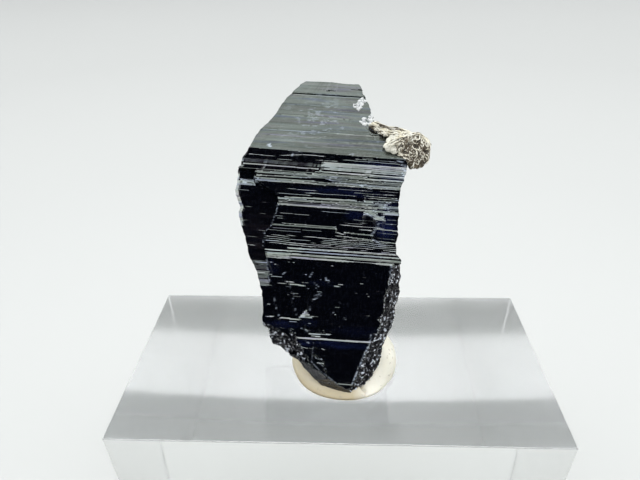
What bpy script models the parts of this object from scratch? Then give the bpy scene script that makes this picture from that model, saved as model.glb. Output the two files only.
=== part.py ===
"""An anatase crystal held by a pad of mineral putty on a clear display block.

Run with: blender --background --python part.py

The row frame has its origin at the middle of the block's underside, +Z up and the viewer at -Y.
The crystal is modelled upright, in its own axes, and is placed by an empty at its point:
X runs across it, Z runs up its long axis, and -Y is its front. It leans back from the viewer.
"""
import math

import bmesh
import bpy
from mathutils import Matrix, Vector, noise
from mathutils.geometry import convex_hull_2d

MM = 0.001

# Clearance between two solids that touch
GAP = 0.1 * MM

# Display block
BLOCK_WIDTH = 24.3 * MM
BLOCK_DEPTH = 11.9 * MM
BLOCK_HEIGHT = 24.3 * MM
BLOCK_EDGE_BREAK = 0.12 * MM

# Putty pad, a ball pressed flat on the block, lower in front where the crystal's point was pushed in
PUTTY_CENTRE = Vector((0.44, -0.32)) * MM
PUTTY_RADIUS = 3.10 * MM
PUTTY_HALF_HEIGHT = 1.60 * MM
PUTTY_MIDDLE = 0.35 * MM
PUTTY_FRONT_HEIGHT = 0.35
PUTTY_LUMP = 0.05 * MM

# Where the crystal's point stands, and how the crystal is turned about it
POINT_PLACE = Vector((0.76, -3.10, 24.8)) * MM
LEAN_BACK = math.radians(40.0)
TURN_RIGHT = math.radians(2.0)
ROLL = math.radians(3.6)

# Slope of the pyramid faces against the long axis
FACE_SLOPE = math.tan(math.radians(21.7))

# Heights, in mm above the point, where the front swaps between faces that widen upward and faces
# that narrow upward. The first stretch widens.
FRONT_START = 0.02
FRONT_EDGES = [
    0.45, 2.82, 2.92, 7.06, 7.14, 7.22, 7.30, 7.37, 7.43, 7.50, 7.60, 7.72, 7.86, 8.01, 8.16, 8.32,
    8.47, 8.65, 8.85, 9.73, 10.22, 10.90, 11.55, 11.76, 12.00, 12.55, 16.46, 16.52, 17.60,
]

# The same for the left flank, which lies behind the thick front growth layer
FLANK_START = -0.04
FLANK_EDGES = [
    0.45, 2.82, 2.92, 5.50, 5.92, 5.98, 6.40, 6.46, 6.88, 7.45, 7.60, 8.50, 8.75, 9.60, 9.85,
    10.70, 11.12, 11.56, 11.90, 12.40, 17.60,
]

# The same for the back, with its depth measured backward
BACK_START = 0.30
BACK_EDGES = [
    -0.40, 2.30, 2.45, 5.20, 5.40, 5.90, 6.30, 6.90, 7.30, 7.90, 8.40, 9.00, 9.60, 10.10, 10.60,
    11.10, 14.20, 14.35, 18.20,
]

# Outline of the crystal seen square on: across and up from the point, in mm
RIGHT_EDGE = [
    (0.08, -0.22), (0.49, 0.14), (0.97, 0.46), (1.37, 0.94), (1.59, 1.60), (1.62, 2.70), (1.85, 3.46),
    (2.12, 4.15), (2.10, 4.90), (2.24, 5.80), (2.17, 6.45), (2.10, 7.30), (1.80, 7.75), (1.76, 8.22),
    (1.80, 8.60), (1.74, 9.20), (1.73, 10.10), (1.74, 10.80), (1.90, 11.40), (2.06, 11.90),
    (2.05, 12.35), (1.75, 13.00), (1.10, 13.90), (0.45, 14.60), (0.10, 15.20), (0.06, 15.66),
    (-0.10, 16.10), (-0.24, 16.48), (-0.47, 16.87), (-0.57, 17.31),
]
TOP_EDGE = [(-0.80, 17.46), (-2.16, 17.35), (-3.49, 17.40), (-4.00, 17.23)]
UPPER_LEFT_EDGE = [
    (-4.42, 16.56), (-4.94, 15.65), (-5.27, 14.79), (-5.84, 13.94), (-6.05, 13.53), (-6.26, 12.74),
    (-6.62, 12.12), (-6.70, 11.75),
]
FLANK_EDGE = [
    (-6.85, 11.60), (-6.88, 11.20), (-6.97, 10.53), (-6.92, 10.23), (-6.68, 9.60), (-6.70, 9.30),
    (-6.54, 8.69), (-6.28, 8.07), (-6.02, 7.14), (-5.67, 6.51), (-5.30, 5.60),
]
LOWER_LEFT_EDGE = [
    (-5.22, 5.45), (-5.13, 5.20), (-5.06, 4.20), (-5.02, 3.62), (-4.70, 3.30), (-4.64, 2.74),
    (-4.50, 2.40), (-4.04, 2.28), (-3.50, 1.82), (-3.17, 1.50), (-2.60, 1.12), (-2.22, 0.68),
    (-1.63, 0.38), (-1.03, 0.05),
]

# Left limit of the thick front growth layer, where the flank shows beside it
LAYER_EDGE = [
    (-6.02, 11.55), (-5.92, 10.92), (-4.52, 9.80), (-4.64, 9.44), (-4.82, 8.79), (-5.22, 7.56),
    (-5.10, 7.10), (-4.88, 6.43), (-4.80, 5.50),
]
FLANK_ROOT = [(-5.05, 5.05), (-3.40, 5.05), (-3.40, 12.00), (-6.45, 12.00)]

# Broken surfaces: three points on each, across, up and toward the front, in mm
RIGHT_BREAK = [(1.62, 7.30, 2.30), (1.50, 3.10, 1.20), (2.16, 5.20, 1.00)]
LOWER_RIGHT_BREAK = [(0.92, 2.87, 0.95), (0.04, 0.46, 0.04), (1.50, 1.30, -0.30)]
LOWER_LEFT_BREAK = [(-2.15, 2.00, 0.66), (-5.00, 3.30, 1.10), (-3.30, 1.50, -0.30)]
POINT_LEFT_CUT = [(-0.70, 0.38, 0.04), (-2.15, 1.38, 0.40), (-1.60, 0.45, -0.42)]

# Small raised plates on the lower face: left end, right end, and height above the point, in mm
PLATES = [
    (-4.00, -3.00, 5.78), (-3.70, -3.35, 5.95), (-1.85, -1.50, 6.05), (-1.30, -0.95, 5.75),
    (-4.90, -4.45, 3.85), (-4.10, -3.00, 3.70), (-2.95, -1.40, 3.20), (0.95, 1.45, 5.60),
]
PLATE_HEIGHT = 0.14 * MM
PLATE_RISE = 0.05 * MM

# Etch pits on the lower face: across and up, and their radius, in mm
ETCH_PITS = [
    (-2.70, 3.95, 0.34), (-2.45, 6.15, 0.16), (-4.05, 6.10, 0.15), (-1.10, 4.60, 0.14),
    (-3.60, 4.80, 0.13), (0.30, 4.10, 0.12), (-0.50, 5.30, 0.10),
]

# Balls that the rock scrap and the white grains are merged from: across, up, toward the front,
# and radius, in mm
MATRIX_BALLS = [
    (0.30, 14.45, 2.34, 0.28), (0.85, 14.22, 2.38, 0.32), (1.40, 14.10, 2.42, 0.37),
    (1.95, 13.88, 2.36, 0.46), (2.45, 13.72, 2.25, 0.52), (2.83, 13.50, 2.10, 0.54),
    (2.86, 13.10, 2.05, 0.50), (2.70, 12.82, 2.00, 0.46), (2.30, 13.10, 2.28, 0.60),
    (1.90, 13.05, 2.24, 0.40), (1.45, 13.50, 2.80, 0.44), (1.12, 13.36, 2.80, 0.34),
]
UPPER_GRAIN_BALLS = [(-0.45, 16.12, 1.74, 0.25), (-0.62, 15.88, 1.83, 0.26), (-0.66, 15.64, 1.92, 0.18)]
LOWER_GRAIN_BALLS = [(-0.22, 14.82, 2.26, 0.23), (0.00, 14.86, 2.22, 0.21), (-0.06, 14.68, 2.30, 0.17)]


def clear_scene():
    for old in list(bpy.data.objects):
        bpy.data.objects.remove(old, do_unlink=True)


def new_collection(name):
    collection = bpy.data.collections.new(name)
    bpy.context.scene.collection.children.link(collection)
    return collection


def new_object(name, mesh, collection):
    made = bpy.data.objects.new(name, mesh)
    collection.objects.link(made)
    return made


def mesh_from(name, bm):
    mesh = bpy.data.meshes.new(name)
    bm.normal_update()
    bm.to_mesh(mesh)
    bm.free()
    return mesh


def evaluated_mesh(source):
    """The mesh of an object with its modifiers on, in the object's own axes."""
    bpy.context.view_layer.update()
    depsgraph = bpy.context.evaluated_depsgraph_get()
    return bpy.data.meshes.new_from_object(source.evaluated_get(depsgraph), depsgraph=depsgraph)


def principled(name, colour, roughness, ior=1.5, transmission=0.0):
    material = bpy.data.materials.new(name)
    material.use_nodes = True
    material.diffuse_color = (*colour, 1.0)
    shader = material.node_tree.nodes["Principled BSDF"]
    shader.inputs["Base Color"].default_value = (*colour, 1.0)
    shader.inputs["Roughness"].default_value = roughness
    shader.inputs["Metallic"].default_value = 0.0
    shader.inputs["IOR"].default_value = ior
    shader.inputs["Transmission Weight"].default_value = transmission
    return material


def flat_prism(name, outline, thickness, collection):
    """A closed outline in XY, filled and extruded along Z, as a welded mesh object."""
    curve = bpy.data.curves.new(name, "CURVE")
    curve.dimensions = "2D"
    curve.fill_mode = "BOTH"
    curve.extrude = thickness / 2
    spline = curve.splines.new("POLY")
    spline.points.add(len(outline) - 1)
    for point, (x, y) in zip(spline.points, outline):
        point.co = (x, y, 0.0, 1.0)
    spline.use_cyclic_u = True
    drawn = new_object(name + "_drawn", curve, collection)
    mesh = evaluated_mesh(drawn)
    bpy.data.objects.remove(drawn, do_unlink=True)
    bm = bmesh.new()
    bm.from_mesh(mesh)
    bmesh.ops.remove_doubles(bm, verts=bm.verts, dist=0.001 * MM)
    bmesh.ops.recalc_face_normals(bm, faces=bm.faces)
    bm.to_mesh(mesh)
    bm.free()
    mesh.materials.clear()
    mesh.shade_flat()
    return new_object(name, mesh, collection)


def boolean(target, operation, tool):
    modifier = target.modifiers.new(operation.lower() + "_" + tool.name, "BOOLEAN")
    modifier.operation = operation
    modifier.solver = "EXACT"
    modifier.object = tool


def keep_largest_body(source):
    """Puts an object's modifiers into its mesh and drops the crumbs that a cut has parted from it."""
    mesh = evaluated_mesh(source)
    bm = bmesh.new()
    bm.from_mesh(mesh)
    unseen = set(bm.verts)
    bodies = []
    while unseen:
        front = [unseen.pop()]
        body = list(front)
        while front:
            vertex = front.pop()
            near = {edge.other_vert(vertex) for edge in vertex.link_edges} & unseen
            unseen -= near
            front.extend(near)
            body.extend(near)
        bodies.append(body)
    bodies.sort(key=len)
    bmesh.ops.delete(bm, geom=[vertex for body in bodies[:-1] for vertex in body], context="VERTS")
    bm.to_mesh(mesh)
    bm.free()
    source.modifiers.clear()
    source.data = mesh


def mark_as_cutter(tool):
    tool.hide_render = True
    tool.display_type = "WIRE"


def stepped_depths(edges, start):
    """Heights and depths of a run of pyramid faces that turn at the edges, the first one widening."""
    points = [(edges[0] * MM, start * MM)]
    for index in range(1, len(edges)):
        rise = (edges[index] - edges[index - 1]) * MM * FACE_SLOPE
        sign = 1 if index % 2 else -1
        points.append((edges[index] * MM, points[-1][1] + sign * rise))
    return points


def depth_at(points, height):
    """Depth of a stepped run of faces at one height."""
    for (low, near), (high, far) in zip(points, points[1:]):
        if low <= height <= high:
            return near + (far - near) * (height - low) / (high - low)
    return points[-1][1]


# Turns that lay an outline drawn in XY onto the crystal: seen from its front, and from its side
SEEN_SQUARE_ON = Matrix.Rotation(math.radians(90), 4, "X")
SEEN_FROM_SIDE = Matrix(((0, 0, -1, 0), (-1, 0, 0, 0), (0, 1, 0, 0), (0, 0, 0, 1)))

CRYSTAL_MIDDLE = -2.5 * MM
CRYSTAL_SPAN = 12.0 * MM
OUTLINE_SPAN = 16.0 * MM


def side_profile(front, back):
    """Side view of the crystal, as depth toward the front and height, from its two stepped runs."""
    outline = [(depth, height) for height, depth in front]
    outline += [(-depth, height) for height, depth in reversed(back)]
    return outline


def in_metres(points):
    return [(x * MM, y * MM) for x, y in points]


def stepped_block(name, profile, outline, collection, cutters):
    """What a side profile and a front outline have in common."""
    block = flat_prism(name, profile, CRYSTAL_SPAN, collection)
    block.data.transform(Matrix.Translation((CRYSTAL_MIDDLE, 0, 0)) @ SEEN_FROM_SIDE)
    fence = flat_prism(name + "_outline", outline, OUTLINE_SPAN, cutters)
    fence.data.transform(SEEN_SQUARE_ON)
    mark_as_cutter(fence)
    boolean(block, "INTERSECT", fence)
    return block, fence


def on_crystal(across, up, forward):
    """A place given in mm across, up and toward the front, in the crystal's axes in metres."""
    return Vector((across, -forward, up)) * MM


def plane_frame(points, inside):
    """Axes of the plane through three places, its Z pointing away from the inside."""
    a, b, c = (on_crystal(*point) for point in points)
    along = (b - a).normalized()
    outward = along.cross(c - a).normalized()
    if outward.dot(a - inside) < 0:
        outward = -outward
    across = outward.cross(along)
    axes = Matrix((along, across, outward)).transposed().to_4x4()
    return Matrix.Translation((a + b + c) / 3) @ axes


def break_cutter(name, points, length, width, cells, roughness, seed, cutters):
    """A slab whose inner face is rough, to take a broken surface off the crystal."""
    thickness = 3.0 * MM
    bm = bmesh.new()
    bmesh.ops.create_cube(bm, size=1.0)
    bmesh.ops.subdivide_edges(bm, edges=bm.edges, cuts=cells - 1, use_grid_fill=True)
    shift = Vector((seed, 2 * seed, 3 * seed))
    for vertex in bm.verts:
        inner = vertex.co.z < -0.499
        place = Vector((vertex.co.x * length, vertex.co.y * width, (vertex.co.z + 0.5) * thickness))
        if inner:
            sample = place / (0.7 * MM) + shift
            place.z += roughness * (noise.noise(sample) + 0.5 * noise.noise(sample * 2.7))
        vertex.co = place
    tool = new_object(name, mesh_from(name, bm), cutters)
    inside = on_crystal(-2.5, 9.0, 0.0)
    tool.data.transform(plane_frame(points, inside))
    mark_as_cutter(tool)
    return tool


def plate(name, left, right, height, front, cutters):
    """A thin ledge that stands a little proud of the lower face."""
    middle_height = height * MM
    depth = depth_at(front, middle_height)
    bm = bmesh.new()
    bmesh.ops.create_cube(bm, size=1.0)
    size = Matrix.Diagonal(((right - left) * MM, 4 * PLATE_RISE, PLATE_HEIGHT, 1.0))
    lean = Matrix.Rotation(math.atan(FACE_SLOPE), 4, "X")
    place = Matrix.Translation(((left + right) / 2 * MM, -depth + PLATE_RISE, middle_height))
    bmesh.ops.transform(bm, matrix=place @ lean @ size, verts=bm.verts)
    made = new_object(name, mesh_from(name, bm), cutters)
    mark_as_cutter(made)
    return made


def etch_pit(name, across, up, radius, front, cutters):
    """A shallow four-sided pit pressed into the lower face."""
    depth = depth_at(front, up * MM)
    bm = bmesh.new()
    bmesh.ops.create_cone(
        bm, cap_ends=True, segments=4, radius1=radius * MM * 1.5, radius2=radius * MM * 0.3,
        depth=radius * MM * 1.1,
    )
    lean = Matrix.Rotation(math.atan(FACE_SLOPE), 4, "X") @ Matrix.Rotation(math.radians(-90), 4, "X")
    place = Matrix.Translation((across * MM, -depth, up * MM))
    bmesh.ops.transform(bm, matrix=place @ lean, verts=bm.verts)
    made = new_object(name, mesh_from(name, bm), cutters)
    mark_as_cutter(made)
    return made


def build_crystal(seat, collection, cutters):
    front = stepped_depths(FRONT_EDGES, FRONT_START)
    back = stepped_depths(BACK_EDGES, BACK_START)
    layer_outline = RIGHT_EDGE + TOP_EDGE + UPPER_LEFT_EDGE + LAYER_EDGE + LOWER_LEFT_EDGE
    crystal, fence = stepped_block(
        "anatase_crystal", side_profile(front, back), in_metres(layer_outline), collection, cutters)

    flank_front = stepped_depths(FLANK_EDGES, FLANK_START)
    flank_back = [(height, depth - 0.05 * MM) for height, depth in back]
    flank, flank_fence = stepped_block(
        "left_flank", side_profile(flank_front, flank_back), in_metres(FLANK_EDGE + FLANK_ROOT),
        cutters, cutters)
    mark_as_cutter(flank)
    boolean(crystal, "UNION", flank)

    tools = [fence, flank, flank_fence]
    for index, (left, right, height) in enumerate(PLATES):
        ledge = plate(f"plate_{index}", left, right, height, front, cutters)
        boolean(crystal, "UNION", ledge)
        tools.append(ledge)
    for index, (across, up, radius) in enumerate(ETCH_PITS):
        pit = etch_pit(f"pit_{index}", across, up, radius, front, cutters)
        boolean(crystal, "DIFFERENCE", pit)
        tools.append(pit)
    breaks = [
        break_cutter("right_break", RIGHT_BREAK, 4.3 * MM, 5.0 * MM, 12, 0.12 * MM, 3, cutters),
        break_cutter("lower_right_break", LOWER_RIGHT_BREAK, 4.2 * MM, 4.0 * MM, 12, 0.10 * MM, 5, cutters),
        break_cutter("lower_left_break", LOWER_LEFT_BREAK, 3.6 * MM, 3.4 * MM, 12, 0.12 * MM, 8, cutters),
        break_cutter("point_left_cut", POINT_LEFT_CUT, 3.0 * MM, 3.0 * MM, 2, 0.0, 0, cutters),
    ]
    for tool in breaks:
        boolean(crystal, "DIFFERENCE", tool)
    for child in [crystal] + tools + breaks:
        child.parent = seat
    crystal.data.materials.append(principled("anatase", (0.012, 0.013, 0.030), 0.12, ior=2.5))
    return crystal


def clearance_hull(seat, cutters):
    """A plain convex envelope of the crystal, one gap larger, that its neighbours are cut by."""
    front = stepped_depths(FRONT_EDGES, FRONT_START)
    back = stepped_depths(BACK_EDGES, BACK_START)
    profile = side_profile(front, back)
    outline = in_metres(RIGHT_EDGE + TOP_EDGE + UPPER_LEFT_EDGE + FLANK_EDGE + LOWER_LEFT_EDGE)
    hull, fence = stepped_block(
        "clearance_hull", grown_hull(profile, GAP), grown_hull(outline, GAP), cutters, cutters)
    mark_as_cutter(hull)
    hull.parent = seat
    fence.parent = seat
    return hull


def grown_hull(points, distance):
    """The convex outline around some points, moved outward."""
    ring = [Vector(points[index]) for index in convex_hull_2d([Vector(point) for point in points])]
    area = sum(a.cross(b) for a, b in zip(ring, ring[1:] + ring[:1]))
    if area < 0:
        ring.reverse()
    grown = []
    for index, here in enumerate(ring):
        before = (here - ring[index - 1]).normalized()
        after = (ring[(index + 1) % len(ring)] - here).normalized()
        out_before = Vector((before.y, -before.x))
        out_after = Vector((after.y, -after.x))
        miter = (out_before + out_after).normalized()
        grown.append(tuple(here + miter * distance / max(miter.dot(out_before), 0.3)))
    return grown


def merged_balls(name, balls, voxel, roughness, seed, faces, collection):
    """Overlapping balls fused into one lump, roughened, and thinned to about the number of faces."""
    bm = bmesh.new()
    for across, up, forward, radius in balls:
        place = Matrix.Translation((across, -forward, up))
        bmesh.ops.create_icosphere(bm, subdivisions=3, radius=radius, matrix=place)
    lump = new_object(name + "_balls", mesh_from(name, bm), collection)
    remesh = lump.modifiers.new("fuse", "REMESH")
    remesh.mode = "VOXEL"
    remesh.voxel_size = voxel
    mesh = evaluated_mesh(lump)
    bpy.data.objects.remove(lump, do_unlink=True)
    bm = bmesh.new()
    bm.from_mesh(mesh)
    bm.normal_update()
    shift = Vector((seed, seed, -seed))
    moves = []
    for vertex in bm.verts:
        sample = vertex.co * 2.2 + shift
        height = noise.noise(sample) + 0.6 * noise.noise(sample * 2.3)
        moves.append(vertex.normal * height * roughness)
    for vertex, move in zip(bm.verts, moves):
        vertex.co += move
    bm.to_mesh(mesh)
    bm.free()
    mesh.transform(Matrix.Scale(MM, 4))
    made = new_object(name, mesh, collection)
    thin = made.modifiers.new("thin", "DECIMATE")
    thin.ratio = min(1.0, faces / (2 * len(mesh.polygons)))
    return made


def build_lumps(seat, hull, collection):
    rock = merged_balls("matrix_fragment", MATRIX_BALLS, 0.10, 0.16, 4, 1400, collection)
    rock.data.materials.append(principled("matrix", (0.45, 0.38, 0.28), 0.75))
    upper = merged_balls("crust_grain_upper", UPPER_GRAIN_BALLS, 0.07, 0.08, 7, 300, collection)
    upper.data.materials.append(principled("crust_upper", (0.80, 0.81, 0.82), 0.45))
    lower = merged_balls("crust_grain_lower", LOWER_GRAIN_BALLS, 0.07, 0.08, 11, 260, collection)
    lower.data.materials.append(principled("crust_lower", (0.78, 0.77, 0.76), 0.45))
    for lump in (rock, upper, lower):
        lump.parent = seat
        boolean(lump, "DIFFERENCE", hull)
        keep_largest_body(lump)


def build_putty(hull, collection):
    bm = bmesh.new()
    bmesh.ops.create_uvsphere(bm, u_segments=40, v_segments=22, radius=1.0)
    size = Matrix.Diagonal((PUTTY_RADIUS, PUTTY_RADIUS, PUTTY_HALF_HEIGHT, 1.0))
    bmesh.ops.transform(bm, matrix=size, verts=bm.verts)
    for vertex in bm.verts:
        lump = noise.noise(vertex.co / (1.6 * MM) + Vector((5, 1, 2)))
        vertex.co += vertex.co.normalized() * lump * PUTTY_LUMP
        frontness = min(1.0, max(0.0, (-vertex.co.y / PUTTY_RADIUS - 0.35) / 0.4))
        if vertex.co.z > 0:
            vertex.co.z *= 1 - (1 - PUTTY_FRONT_HEIGHT) * frontness
    middle = Vector((*PUTTY_CENTRE, BLOCK_HEIGHT + PUTTY_MIDDLE))
    bmesh.ops.translate(bm, vec=middle, verts=bm.verts)
    floor = Vector((0, 0, BLOCK_HEIGHT + GAP))
    everything = list(bm.verts) + list(bm.edges) + list(bm.faces)
    bmesh.ops.bisect_plane(bm, geom=everything, plane_co=floor, plane_no=(0, 0, -1), clear_outer=True)
    rim = [edge for edge in bm.edges if edge.is_boundary]
    bmesh.ops.contextual_create(bm, geom=rim)
    bmesh.ops.recalc_face_normals(bm, faces=bm.faces)
    putty = new_object("putty_pad", mesh_from("putty_pad", bm), collection)
    boolean(putty, "DIFFERENCE", hull)
    keep_largest_body(putty)
    putty.data.materials.append(principled("putty", (0.78, 0.72, 0.58), 0.6))
    return putty


def build_block(collection):
    bm = bmesh.new()
    bmesh.ops.create_cube(bm, size=1.0)
    size = Matrix.Diagonal((BLOCK_WIDTH, BLOCK_DEPTH, BLOCK_HEIGHT, 1.0))
    bmesh.ops.transform(bm, matrix=size, verts=bm.verts)
    block = new_object("acrylic_block", mesh_from("acrylic_block", bm), collection)
    block.location = (0, 0, BLOCK_HEIGHT / 2)
    edges = block.modifiers.new("broken_edges", "BEVEL")
    edges.width = BLOCK_EDGE_BREAK
    edges.segments = 2
    block.data.materials.append(principled("acrylic", (0.97, 0.98, 0.98), 0.02, ior=1.49, transmission=1.0))
    return block


def main():
    clear_scene()
    collection = new_collection("anatase_crystal_on_block")
    cutters = new_collection("cutters")
    seat = bpy.data.objects.new("crystal_seat", None)
    cutters.objects.link(seat)
    turned = (
        Matrix.Rotation(-LEAN_BACK, 4, "X")
        @ Matrix.Rotation(TURN_RIGHT, 4, "Z")
        @ Matrix.Rotation(ROLL, 4, "Y")
    )
    seat.rotation_euler = turned.to_euler()
    seat.location = POINT_PLACE

    build_crystal(seat, collection, cutters)
    hull = clearance_hull(seat, cutters)
    build_lumps(seat, hull, collection)
    build_putty(hull, collection)
    build_block(collection)


main()
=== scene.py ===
"""Anatase crystal on a clear display block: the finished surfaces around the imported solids.

The crystal's front is worked out as a relief. Its faces lean one of two ways against the long
axis, so the relief is the running sum of their slopes up the crystal, row by row.
"""

import math

import bmesh
import bpy
import numpy as np
from bpy.props import FloatProperty, FloatVectorProperty, PointerProperty
from bpy.types import Operator, Panel, PropertyGroup
from mathutils import Matrix, Vector, noise


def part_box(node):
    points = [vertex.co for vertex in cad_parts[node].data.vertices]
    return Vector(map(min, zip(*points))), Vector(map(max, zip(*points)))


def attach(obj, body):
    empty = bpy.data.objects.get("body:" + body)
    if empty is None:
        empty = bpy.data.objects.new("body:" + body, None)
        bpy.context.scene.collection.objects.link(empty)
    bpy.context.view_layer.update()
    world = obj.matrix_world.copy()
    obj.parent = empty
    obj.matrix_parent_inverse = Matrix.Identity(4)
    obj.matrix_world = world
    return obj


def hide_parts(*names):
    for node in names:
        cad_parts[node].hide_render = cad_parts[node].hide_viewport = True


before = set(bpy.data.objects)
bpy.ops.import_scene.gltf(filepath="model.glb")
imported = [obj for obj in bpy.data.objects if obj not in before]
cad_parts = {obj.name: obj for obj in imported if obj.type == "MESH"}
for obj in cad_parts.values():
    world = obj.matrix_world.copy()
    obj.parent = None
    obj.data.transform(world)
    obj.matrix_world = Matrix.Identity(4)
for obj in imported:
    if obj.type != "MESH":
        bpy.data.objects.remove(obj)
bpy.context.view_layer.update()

bl_info = {
    "name": "Anatase on a display block",
    "version": (1, 0, 0),
    "blender": (4, 5, 0),
    "location": "3D View > Sidebar > Anatase",
    "description": "Builds a striated anatase crystal in putty on a clear block",
    "category": "Object",
}

MM = 0.001
BLOCK_LOW, BLOCK_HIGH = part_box("acrylic_block")
BLOCK_TOP = BLOCK_HIGH.z

# Slopes of the crystal's faces against its long axis: depth gained per height climbed. Dark faces
# widen upward and mirror the dark in front, and pale ones narrow upward and mirror the light bank
DARK = math.tan(math.radians(21.7))
PALE = -DARK
GLINT = -0.14
SOFT = -0.30
DIM = 0.11
FAINT = -0.03
FLAT = 0.275

# Rows of the crystal's mesh: from, to, and spacing, in mm above the point
ROW_ZONES = [
    (-0.26, 0.40, 0.031), (0.40, 0.50, 0.020), (0.50, 2.74, 0.032), (2.74, 2.96, 0.0147),
    (2.96, 6.86, 0.030), (6.86, 12.70, 0.0157), (12.70, 16.40, 0.031), (16.40, 16.58, 0.015),
    (16.58, 17.46, 0.030),
]
FRONT_COLUMNS = 92
BACK_COLUMNS = 22
SIDE_COLUMNS = 4

# What a place of the crystal is, beside natural faces (0)
BROKEN = 1
SLATE = 2

# Zones of the crystal's front, up from the point, in mm
BAND_ZONE = (6.95, 12.50)
WAVY_ZONE = (7.66, 8.22)
WAVY_LEFT = -5.1
WAVE_PITCH = 0.097
UPPER_FACE_ZONE = (12.66, 16.40)
CAP_FOOT = 16.62
LOWER_FACE_ZONE = (2.96, 6.90)
POINT_FACE_ZONE = (0.50, 2.76)
FLANK_FOOT = 5.48

# Small bright growth pyramid on the lower face: foot, top, middle across and slant of its sides
PYRAMID_FOOT = 3.97
PYRAMID_TOP = 4.44
PYRAMID_MIDDLE = -2.72
PYRAMID_SLANT = 1.25
PYRAMID_SLOPE = -0.18

# Rounded left rim of the flank: its width, depth and zone, in mm
RIM_WIDTH = 0.22
RIM_DEPTH = 0.14
RIM_ZONE = (8.60, 11.60)

# Heights over which the relief is held to its rows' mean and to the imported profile, in mm
COLUMN_HOLD = 0.9
PROFILE_HOLD = 2.2
# How far an edge's raggedness and a side's bulge reach, and the least thickness, in mm
EDGE_RAGGED = 0.007
SIDE_BULGE = 0.06
LEAST_THICKNESS = 0.06
# Faces that meet at more than this angle are shaded as sharp
SHARP_ANGLE = math.radians(6)

# Left and right limits of the crystal seen square on: across and up, in mm
RIGHT_LIMIT = [
    (0.14, -0.26), (0.38, 0.12), (0.70, 0.44), (1.16, 0.92), (1.46, 1.55), (1.60, 2.10), (1.58, 2.70),
    (1.80, 3.30), (2.06, 3.90), (2.13, 4.30), (2.06, 4.85), (2.20, 5.30), (2.26, 5.75), (2.15, 6.10),
    (2.20, 6.50), (2.10, 7.00), (2.08, 7.30), (1.84, 7.62), (1.75, 8.15), (1.82, 8.60), (1.74, 9.20),
    (1.77, 9.70), (1.72, 10.20), (1.75, 10.80), (1.90, 11.40), (2.06, 11.90), (2.05, 12.35),
    (1.75, 13.00), (1.10, 13.90), (0.45, 14.60), (0.12, 15.10), (0.06, 15.66), (-0.10, 16.10),
    (-0.24, 16.48), (-0.44, 16.87), (-0.52, 17.28), (-0.68, 17.46),
]
LEFT_LIMIT = [
    (-0.10, -0.26), (-0.62, -0.08), (-1.25, 0.04), (-1.62, 0.24), (-2.18, 0.72), (-2.40, 0.98),
    (-2.66, 1.22), (-2.98, 1.62), (-3.45, 1.82), (-3.80, 2.05), (-4.04, 2.28), (-4.44, 2.36),
    (-4.62, 2.74), (-4.70, 3.26), (-4.98, 3.36), (-5.03, 3.70), (-5.03, 4.30), (-5.12, 5.20),
    (-5.28, 5.50), (-5.40, 5.92), (-5.48, 6.20), (-5.68, 6.51), (-5.88, 6.86), (-6.02, 7.14),
    (-6.10, 7.46), (-6.28, 8.07), (-6.54, 8.69), (-6.68, 9.05), (-6.70, 9.30), (-6.66, 9.60),
    (-6.92, 10.23), (-6.97, 10.53), (-6.90, 10.95), (-6.86, 11.50), (-6.68, 11.77), (-6.62, 12.12),
    (-6.42, 12.43), (-6.26, 12.74), (-6.15, 13.13), (-6.05, 13.53), (-5.84, 13.94), (-5.53, 14.36),
    (-5.27, 14.79), (-5.10, 15.22), (-4.94, 15.65), (-4.73, 16.10), (-4.42, 16.56), (-4.13, 17.00),
    (-3.98, 17.23), (-3.72, 17.46),
]

# Left edge of the thick front growth layer, where the flank shows beside it
LAYER_LIMIT = [
    (-5.28, 5.48), (-4.75, 5.52), (-4.88, 6.43), (-5.04, 7.10), (-5.26, 7.50), (-5.20, 8.29),
    (-4.89, 8.60), (-4.71, 9.24), (-4.57, 9.72), (-4.70, 10.20), (-5.25, 10.60), (-5.88, 10.92),
    (-5.96, 11.55), (-7.50, 11.58),
]

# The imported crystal's profiles: depth at the point, then the heights where its faces turn, which
# widen and narrow by turns
FRONT_START = 0.02
FRONT_TURNS = [
    0.45, 2.82, 2.92, 7.06, 7.14, 7.22, 7.30, 7.37, 7.43, 7.50, 7.60, 7.72, 7.86, 8.01, 8.16, 8.32,
    8.47, 8.65, 8.85, 9.73, 10.22, 10.90, 11.55, 11.76, 12.00, 12.55, 16.46, 16.52, 17.60,
]
FLANK_START = -0.04
FLANK_TURNS = [
    0.45, 2.82, 2.92, 5.50, 5.92, 5.98, 6.40, 6.46, 6.88, 7.45, 7.60, 8.50, 8.75, 9.60, 9.85, 10.70,
    11.12, 11.56, 11.90, 12.40, 17.60,
]
BACK_START = 0.30
BACK_TURNS = [
    -0.40, 2.30, 2.45, 5.20, 5.40, 5.90, 6.30, 6.90, 7.30, 7.90, 8.40, 9.00, 9.60, 10.10, 10.60,
    11.10, 14.20, 14.35, 18.20,
]

# Where the heights of an edge are given at its left and at its right, in mm across
EDGE_LEFT = -6.0
EDGE_RIGHT = 2.0

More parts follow.
